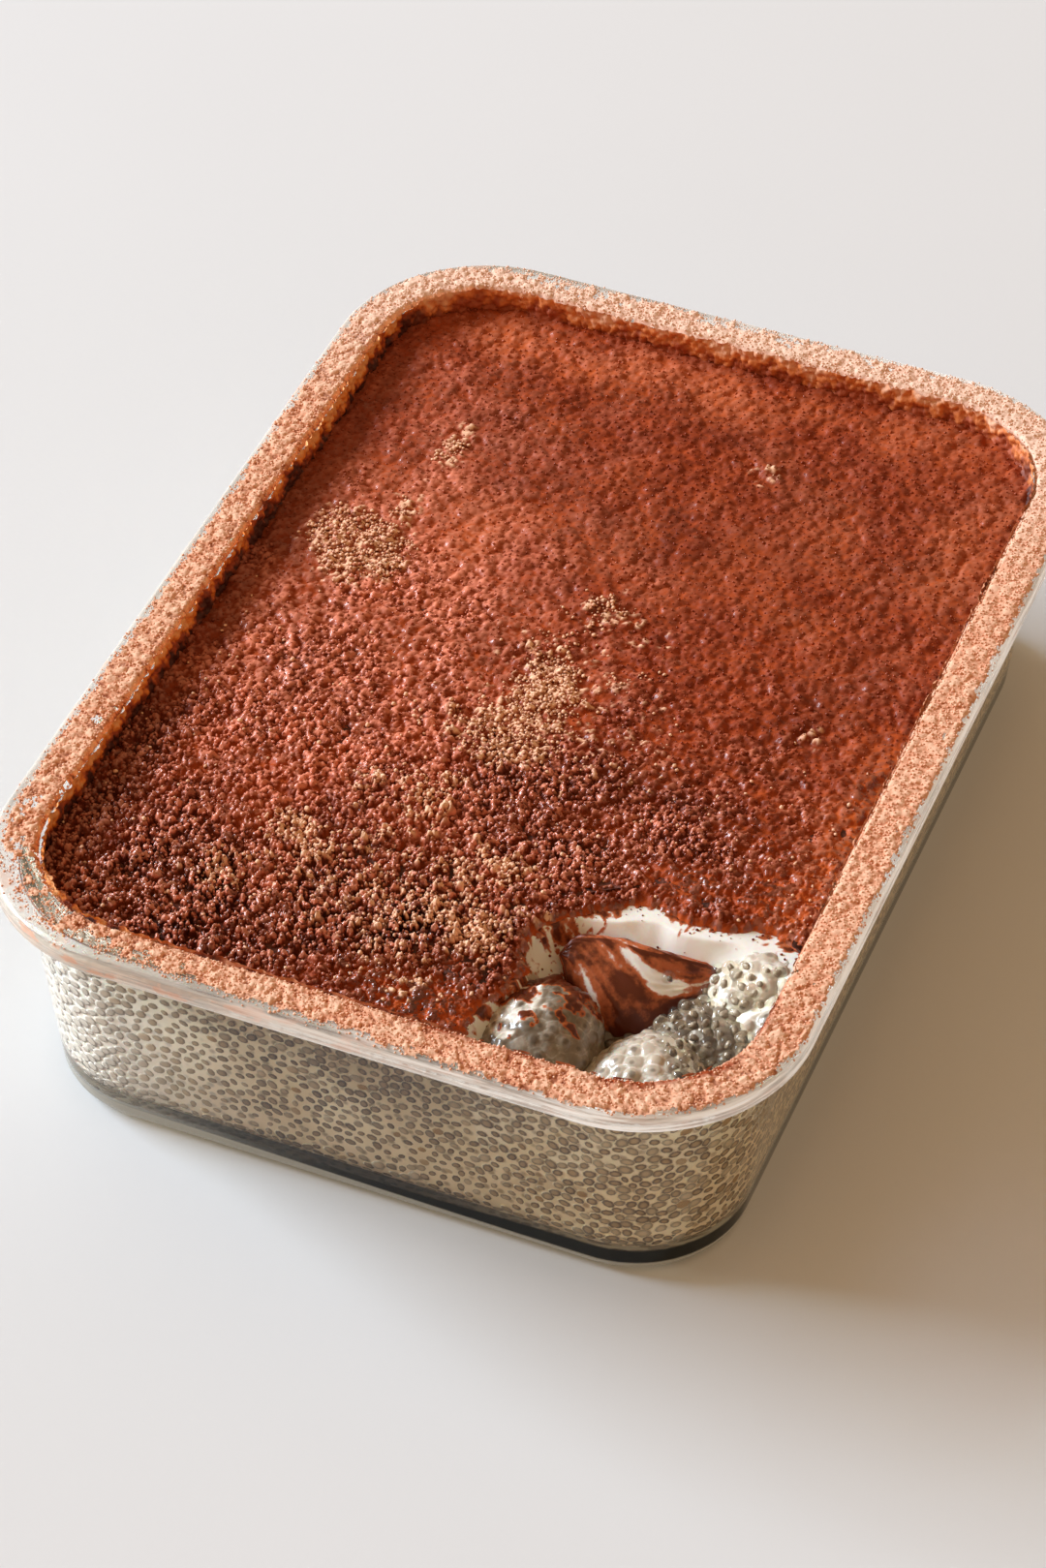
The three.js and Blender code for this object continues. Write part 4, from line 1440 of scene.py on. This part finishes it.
def studs(places, normals, gap, height, seed):
    # packs gel beads with a seed in each over a surface: the moved places and the shader's numbers
    rng = np.random.default_rng(seed)
    order = rng.permutation(len(places))
    middles = places[order[keepApart(places[order], gap)]]
    many = len(middles)
    index, first, second = nearestTwo(places, middles)
    size = gap * rng.uniform(*studShape["size"], many)[index]
    dome = np.sqrt(unit(1 - (first / size) ** 2))
    lie = rng.standard_normal((many, 3))
    lie /= np.linalg.norm(lie, axis=1, keepdims=True)
    shift = rng.uniform(-studShape["shift"], studShape["shift"], (many, 3))
    offset = places - (middles + shift)[index]
    lengthways = np.einsum("ij,ij->i", offset, lie[index])
    across = np.sqrt(np.maximum((offset ** 2).sum(1) - lengthways ** 2, 0))
    seedAway = np.hypot(lengthways / studShape["seedLength"], across / studShape["seedWidth"])
    seedAway *= rng.uniform(*studShape["seedSize"], many)[index]
    seedAway += (rng.random(many) < studShape["empty"])[index] * 2.0
    net = 1 - unit((second - first) / (gap * studShape["net"]))
    return places + normals * (height * (dome - 0.5))[:, None], {"seedAway": seedAway, "net": net}


# Skin of the hollow: a bowl whose upper side is cream, dragged down by the spoon, over dark pudding.
skin = {
    "pitch": 0.3,
    "low": (14.0, -104.0),  # the stretch that its grid covers
    "high": (75.0, -44.0),
    "gap": 2.5,
    "studs": 0.9,
    "creamDown": 36.5,  # how low the cream comes at the back
    "slope": (4.2, 14.0),  # how far the cream falls near the edge and further in
    "leftBank": (25, -61),
}


def bowl(x, y):
    # steep at the front and the sides, a long gentle slope of cream at the back
    share, reach = hollowShare(x, y)
    steep = food["crust"] - hollow["depth"] * np.sqrt(np.clip(1 - share, 0.002, 1))
    fallAtEdge, fallFurther = skin["slope"]
    gentle = food["crust"] - 0.4 - fallAtEdge * step(share, 1.0, 0.62) - fallFurther * step(share, 0.66, 0.1)
    behind = step(y + 0.42 * (x - 42) + 0.9 * cloud(x, y, 6, 58), -68, -58)
    z = steep * (1 - behind) + np.maximum(gentle, steep) * behind
    wallUp = food["pudding"] - 7 * step(insetOf(x, y) - innerInset(food["pudding"]), 1.2, 5.0)
    return share, reach, np.maximum(z, wallUp), behind


def skinSmear(x, y, edge):
    # cocoa drawn down from the crust's edge in dabs, and in thin lines on the left bank
    around = 20 * np.arctan2(x - hollow["middle"][0], y - hollow["middle"][1])
    dabs = cloud(around, edge * 0.5, 1.1, 54) + 0.8 * cloud(around, edge * 0.6, 0.5, 55)
    width = 0.5 + 1.3 * spot(x, y, (25, -60), (8, 9)) + 1.6 * spot(x, y, (65, -54), (6, 7))
    width = width + 0.8 * cloud(around, edge, 6, 14)
    thinLines = cloud(around * 0.6 + edge, edge * 1.2, 1.1, 12) + 0.5 * cloud(around, edge, 0.5, 11)
    thinLines = 0.85 * step(thinLines, 0.35, 1.0) * spot(x, y, (25, -60), (8, 10))
    return np.maximum(step(width + 2.2 * dabs - edge, -1.4, 2.6), thinLines)


columns, rows = [int((high - low) / skin["pitch"]) for low, high in zip(skin["low"], skin["high"])]
x, y = np.meshgrid(*[np.linspace(skin["low"][i], skin["high"][i], (columns, rows)[i]) for i in (0, 1)])
share, reach, z, behind = bowl(x, y)
z = z + clouds(x, y, (0.35, 7, 51), (0.15, 2.6, 52))
z = z - 0.7 * spot(x, y, (44, -56.5), (2.6, 1.6), -20) - 3.0 * spot(x, y, (50, -59), (8, 4), -10) + 0.45
creamEdge = food["cream"] - 0.15
lip = step(share, 0.93, 1.03)
z = np.where(share < 1.0, np.minimum(z, creamEdge), creamEdge) * lip + np.minimum(z, creamEdge) * (1 - lip)
nearWall = insetOf(x, y) - innerInset(z)
wallEdge = innerInset(z) - food["reach"]
inside = (insetOf(x, y) > wallEdge - skin["pitch"]) & (share < 1.12)
inside &= ~((nearWall < 1.0) & (share > 1.02))
x, y = pullIn(x, y, wallEdge)
creamLow = skin["creamDown"] + 5.0 * (1 - behind) + 1.1 * cloud(x, y, 5, 53)
creamLow = creamLow + 9 * spot(x, y, (71, -70), (14, 13))
creamy = np.maximum(step(z, creamLow - 0.8, creamLow + 0.8), 0.38 * spot(x, y, (66, -74), (16, 18)))
creamy = np.maximum(creamy, unit(1.6 * spot(x, y, skin["leftBank"], (7, 8))))
creamy = creamy * (1 - 0.75 * step(nearWall, 3.5, 0.5) * step(y, -54, -60))
own = {"creamy": creamy, "smear": skinSmear(x, y, (1 - share) * reach)}
places, faces, own = usedOnly(meshPlaces(x, y, z), gridFaces(rows, columns, inside), own)
hollowSkin = pieceFromArrays("hollowSkin", places, faces, own)
normals = normalsOf(hollowSkin)
moved, studNumbers = studs(places, normals, skin["gap"], skin["studs"], 56)
pull = (1 - own["creamy"])[:, None]
moveCorners(hollowSkin, places * (1 - pull) + moved * pull)
setAttributes(hollowSkin.data, studNumbers)
finishPiece(hollowSkin, wetFood)

# Crumbs fallen from the crust's edge onto the cream.
fallen = {
    "reach": 2.2,
    "chance": 0.06,
    "gap": 0.5,
    "size": (0.09, 0.33),
}
rng = np.random.default_rng(59)
share, reach = hollowShare(places[:, 0], places[:, 1])
chance = np.exp(-(1 - share) * reach / fallen["reach"]) * (own["creamy"] > 0.5) * (share < 1.0)
chosen = np.flatnonzero(rng.random(len(places)) < fallen["chance"] * chance)
chosen = chosen[keepApart(places[chosen], fallen["gap"])]
smallest, biggest = fallen["size"]
radius = smallest + (biggest - smallest) * rng.random(len(chosen)) ** 2
tone = rng.random(len(chosen))
own = {key: 0 * tone for key in ("dry", "wet", "dusty", "ember", "shade")}
own.update({"high": 0.4 + 0.5 * tone, "tone": tone, "coarse": 0.5 + 0 * tone})
fallenCrumbs = grainMesh("fallenCrumbs", places[chosen] + normals[chosen] * 0.05, radius, own, 60)
finishPiece(fallenCrumbs, cocoa)
print("hollow skin:", len(faces) * 2, "triangles")

# Heaps in the hollow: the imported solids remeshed, some a little moved and enlarged, with gel beads over them.
heaps = {
    "fallen_lump": {"name": "fallenLump", "slot": "chia_pudding", "gap": 2.0, "height": 0.28, "seed": 61},
    "chia_mound": {"name": "chiaMound", "slot": "chia_gel", "gap": 2.3, "height": 0.6, "seed": 62,
                   "from": (51, -85, 24), "to": (49.8, -83.0, 24.5), "scale": (1.05, 1.05, 1.1)},
    "seed_cluster": {"name": "seedCluster", "slot": "chia_gel", "gap": 2.6, "height": 1.1, "seed": 63},
    "cream_blob": {"name": "creamBlob", "slot": "cream", "gap": 2.7, "height": 0.65, "seed": 64,
                   "from": (59, -57.5, 37.5), "to": (59.5, -56.5, 37.8), "scale": (1.15, 1.3, 1.1)},
}
heapVoxel = 0.36
heapSmoothing = 10


def lumpMasks(places, normals):
    # the lump is pale and smeared with cocoa on top, toward the crust
    x, y, z = places.T
    uneven = 0.22 * cloudIn(places, 4.0, 65) + 0.12 * cloudIn(places, 1.5, 66)
    facing = normals @ np.array([-0.52, 0.32, 0.79]) + uneven
    top = normals @ np.array([0.1, 0.72, 0.68]) + uneven
    drag = cloud(0.7 * x + 0.7 * y, (0.7 * x - 0.7 * y) / 4, 1.3, 67) + 0.5 * cloud(x, z, 0.6, 8)
    smear = 1.3 * step(top + 0.1 * cloudIn(places, 0.7, 9), 0.66, 0.8)
    smear = smear + 1.3 * step(drag, 0.55, 0.8) * step(facing, 0.4, 0.7)
    return 0.07 + 0.5 * step(facing, 0.8, 0.9) + 0.1 * cloudIn(places, 2.5, 15), smear


def heapMasks(node, places, normals):
    # how creamy and how smeared with cocoa each place of a heap is
    if node == "fallen_lump":
        return lumpMasks(places, normals)
    layers = {
        "chia_mound": (0.36, (0.14, 5, 68)),
        "seed_cluster": (0.06, (0.2, 4, 69)),
        "cream_blob": (0.47, (0.36, 3, 70), (0.2, 1.2, 16)),
    }[node]
    creamy = layers[0] + sum(height * cloudIn(places, size, seed) for height, size, seed in layers[1:])
    return creamy, np.zeros(len(places))


for node, heap in heaps.items():
    piece = solidCopy(node, heap["name"])
    applyModifier(piece, "REMESH", mode="VOXEL", voxel_size=heapVoxel * mm, use_smooth_shade=True)
    applyModifier(piece, "SMOOTH", factor=0.5, iterations=heapSmoothing)
    places, normals = cornersOf(piece), normalsOf(piece)
    if "scale" in heap:
        places = (places - heap["from"]) * heap["scale"] + heap["to"]
    places[:, 0], places[:, 1] = pullIn(places[:, 0], places[:, 1], innerInset(places[:, 2]) + 0.2)
    places = places + normals * (0.45 * cloudIn(places, 4.5, heap["seed"]))[:, None]
    creamy, smear = heapMasks(node, places, normals)
    moved, studNumbers = studs(places, normals, heap["gap"], heap["height"], heap["seed"])
    pull = np.clip(1 - 0.8 * unit(creamy) - smear, 0.1, 1)[:, None]
    bead = beads(places[:, 0], places[:, 1] + places[:, 2], 1.0, 71)[0]
    moveCorners(piece, places * (1 - pull) + moved * pull + normals * (0.4 * bead * unit(smear))[:, None])
    setAttributes(piece.data, {**studNumbers, "creamy": creamy, "smear": smear})
    finishPiece(piece, wetFood, [node])

# Folded cream: a tongue pushed up by the spoon, its face leaning to the front with cocoa dragged over it.
foldShape = {
    "crest": [(25.6, -63.2, 43.0), (29.5, -61.0, 44.9), (35.0, -60.2, 45.3),
              (41.0, -59.8, 44.7), (47.0, -58.0, 43.4), (52.8, -55.8, 41.6)],
    "front": [(26.2, -65.0, 41.2), (30.0, -68.5, 37.0), (36.0, -71.5, 33.5),
              (43.0, -70.0, 33.0), (48.3, -63.8, 36.5), (53.3, -57.2, 40.4)],
    "swell": [0.2, 1.1, 1.7, 1.3, 0.8, 0.2],  # how far the face bulges
    "thick": [0.8, 3.4, 4.6, 4.2, 2.6, 0.8],
    "way": (0.93, 0.3, -0.1),
    "stepsAlong": 26,
    "stepsRound": 18,
    "length": 28.0,  # its measures as laid out flat, for the smears
    "sideWidth": 4.2,
    "smears": [  # middle, size, turn and strength of the thick ones
        ((2.5, 2), (4.5, 4), 0, 0.5), ((14, 0.3), (14, 0.8), 0, 0.5), ((15, 12), (7, 2.5), 0, 0.45),
        ((13.5, 5.5), (3, 2), 30, 0.35),
    ],
    "bare": [  # cream that shows between them
        ((20, 7), (4, 0.7), 36, 0.6), ((8, 8.5), (5, 0.9), 40, 0.65), ((11.5, 3.2), (4, 0.6), 33, 0.5),
    ],
}

crest, front = np.array(foldShape["crest"]), np.array(foldShape["front"])
bulge, thick = [np.array(foldShape[key])[:, None] for key in ("swell", "thick")]
lean = np.cross(front - crest, foldShape["way"])
lean /= -np.linalg.norm(lean, axis=1, keepdims=True)
lean *= np.sign(lean[:, 2:])
lines = [
    crest,
    crest * 0.72 + front * 0.28 + lean * (bulge * 0.35),
    crest * 0.4 + front * 0.6 + lean * bulge,
    front,
    front - lean * thick * 0.8,
    crest * 0.5 + front * 0.5 - lean * thick,
    crest - lean * thick * 0.7,
]
sections = smoothThrough(np.concatenate(lines, axis=1), foldShape["stepsAlong"])
columns = len(sections)
ring = sections.reshape(columns, len(lines), 3).swapaxes(0, 1).reshape(len(lines), -1)
ring = smoothThrough(ring, foldShape["stepsRound"], True)
rows = len(ring)
places = ring.reshape(rows, columns, 3)
lengthShare = np.linspace(0, 1, columns)
taper = np.sqrt(unit(np.sin(math.pi * lengthShare) * 3.5))[None, :, None]
centre = places.mean(axis=0, keepdims=True)
places = (places - centre) * taper + centre
corner = np.arange(rows * columns).reshape(rows, columns)
below = np.roll(corner, -1, axis=0)
faces = np.stack([corner[:, :-1], below[:, :-1], below[:, 1:], corner[:, 1:]], axis=-1).reshape(-1, 4)
fold = pieceFromArrays("creamFold", places.reshape(-1, 3), faces)

sidesRound = np.arange(rows) / foldShape["stepsRound"]
u, t = np.meshgrid(lengthShare * foldShape["length"], sidesRound * foldShape["sideWidth"])
acrossStreak, alongStreak = 0.86 * t - 0.5 * u, 0.86 * u + 0.5 * t
streak = cloud(acrossStreak, alongStreak / 6, 1.3, 73) + 0.6 * cloud(acrossStreak, alongStreak / 4, 0.55, 74)
places = cornersOf(fold)
moveCorners(fold, places + normalsOf(fold) * (0.22 * streak.ravel() + 0.35 * cloudIn(places, 5, 75))[:, None])
smear = 0.74 + 0.24 * streak + clouds(u, t, (0.22, 2.6, 13), (0.12, 0.8, 10))
smear = smear + sum(spot(u, t, *one[:3]) * one[3] for one in foldShape["smears"])
smear = smear - (1.15 - 0.3 * streak) * spot(u, t, (17.5, 3.8), (7.5, 1.0), 31)
smear = smear - sum(spot(u, t, *one[:3]) * one[3] for one in foldShape["bare"])
noSeeds = {"seedAway": np.full(smear.size, 3.0), "net": np.zeros(smear.size)}
setAttributes(fold.data, {**noSeeds, "creamy": np.ones(smear.size), "smear": smear.ravel()})
editAll(fold)
bpy.ops.mesh.remove_doubles(threshold=0.01 * mm)
bpy.ops.mesh.normals_make_consistent(inside=False)
deselectAll()
finishPiece(fold, wetFood, ["cream_fold"])
print("heaps and fold:", len(fold.data.polygons))

# Clear gel beads with a dark seed in each, piled at the right of the hollow.
gelBeads = {
    "size": (1.15, 1.6),
    "gap": 2.1,
    "seed": 81,
    "first": [(47.5, -51.2, 43.6), (45.0, -61.6, 41.6)],  # two that lie by themselves
    "fromWall": 1.4,
    "lift": 0.25,
    "top": 45.5,
    "seedSize": ((0.65, 0.85), (0.45, 0.6), (0.4, 0.5)),
}


def onHeap(name, places, normals):
    # where on each heap beads may lie
    up, x, y = normals[:, 2], places[:, 0], places[:, 1]
    if name == "seedCluster":
        return up > 0.1
    if name == "creamBlob":
        return (up > -0.1) & (y < -56)
    return (up > 0.2) & (x + 0.5 * y > 12)


rng = np.random.default_rng(gelBeads["seed"])
pools = []
for name in ("seedCluster", "creamBlob", "chiaMound"):
    piece = bpy.data.objects[name]
    places, normals = cornersOf(piece), normalsOf(piece)
    places = places[onHeap(name, places, normals)]
    pools.append(places[rng.permutation(len(places))])
pool = np.concatenate(pools)
pool = np.concatenate([gelBeads["first"], pool[keepApart(pool, gelBeads["gap"])]])
pool = pool[insetOf(pool[:, 0], pool[:, 1]) > innerInset(pool[:, 2]) + gelBeads["fromWall"]]
many = len(pool)
radius = rng.uniform(*gelBeads["size"], many)
pool[:, 2] = np.minimum(pool[:, 2] + gelBeads["lift"], gelBeads["top"])
turns = turnsTo(rng.standard_normal((many, 3)), rng.uniform(0, math.pi, many))
sizes = radius[:, None] * rng.uniform(0.86, 1.1, (many, 3))
clearBeads = pieceFromArrays("gelBeads", *copies(ballShape(3), pool, sizes, turns))
clearGel = Finish("clearGel", Base_Color=(0.82, 0.73, 0.62), Roughness=0.02, IOR=1.34,
                  Transmission_Weight=0.96)
clearGel.letLampsThrough((0.88, 0.86, 0.82))
finishPiece(clearBeads, clearGel)

sizes = np.stack([rng.uniform(low, high, many) for low, high in gelBeads["seedSize"]], axis=1)
middles = pool + rng.uniform(-0.3, 0.3, (many, 3)) - [0, 0, 0.2]
pale = unit(spot(pool[:, 0], pool[:, 1], (62, -59), (10, 10)) * 1.6)
beadSeeds = pieceFromArrays("gelBeadSeeds", *copies(ballShape(2), middles, sizes, turns, {"pale": pale}))
hull = Finish("seedHull", Roughness=0.3)
hull.set(Base_Color=hull.over(
    (0.09, 0.062, 0.04),
    (hull.patches(0.5, 0.4, 0.65), (0.30, 0.22, 0.145)),
    (hull.attribute("pale") * 0.7, (0.44, 0.36, 0.27)),
))
finishPiece(beadSeeds, hull)
print("gel beads:", many)

newLow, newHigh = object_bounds()
sizes = {"cad": [list(cadLow), list(cadHigh)], "visual": [list(newLow), list(newHigh)]}
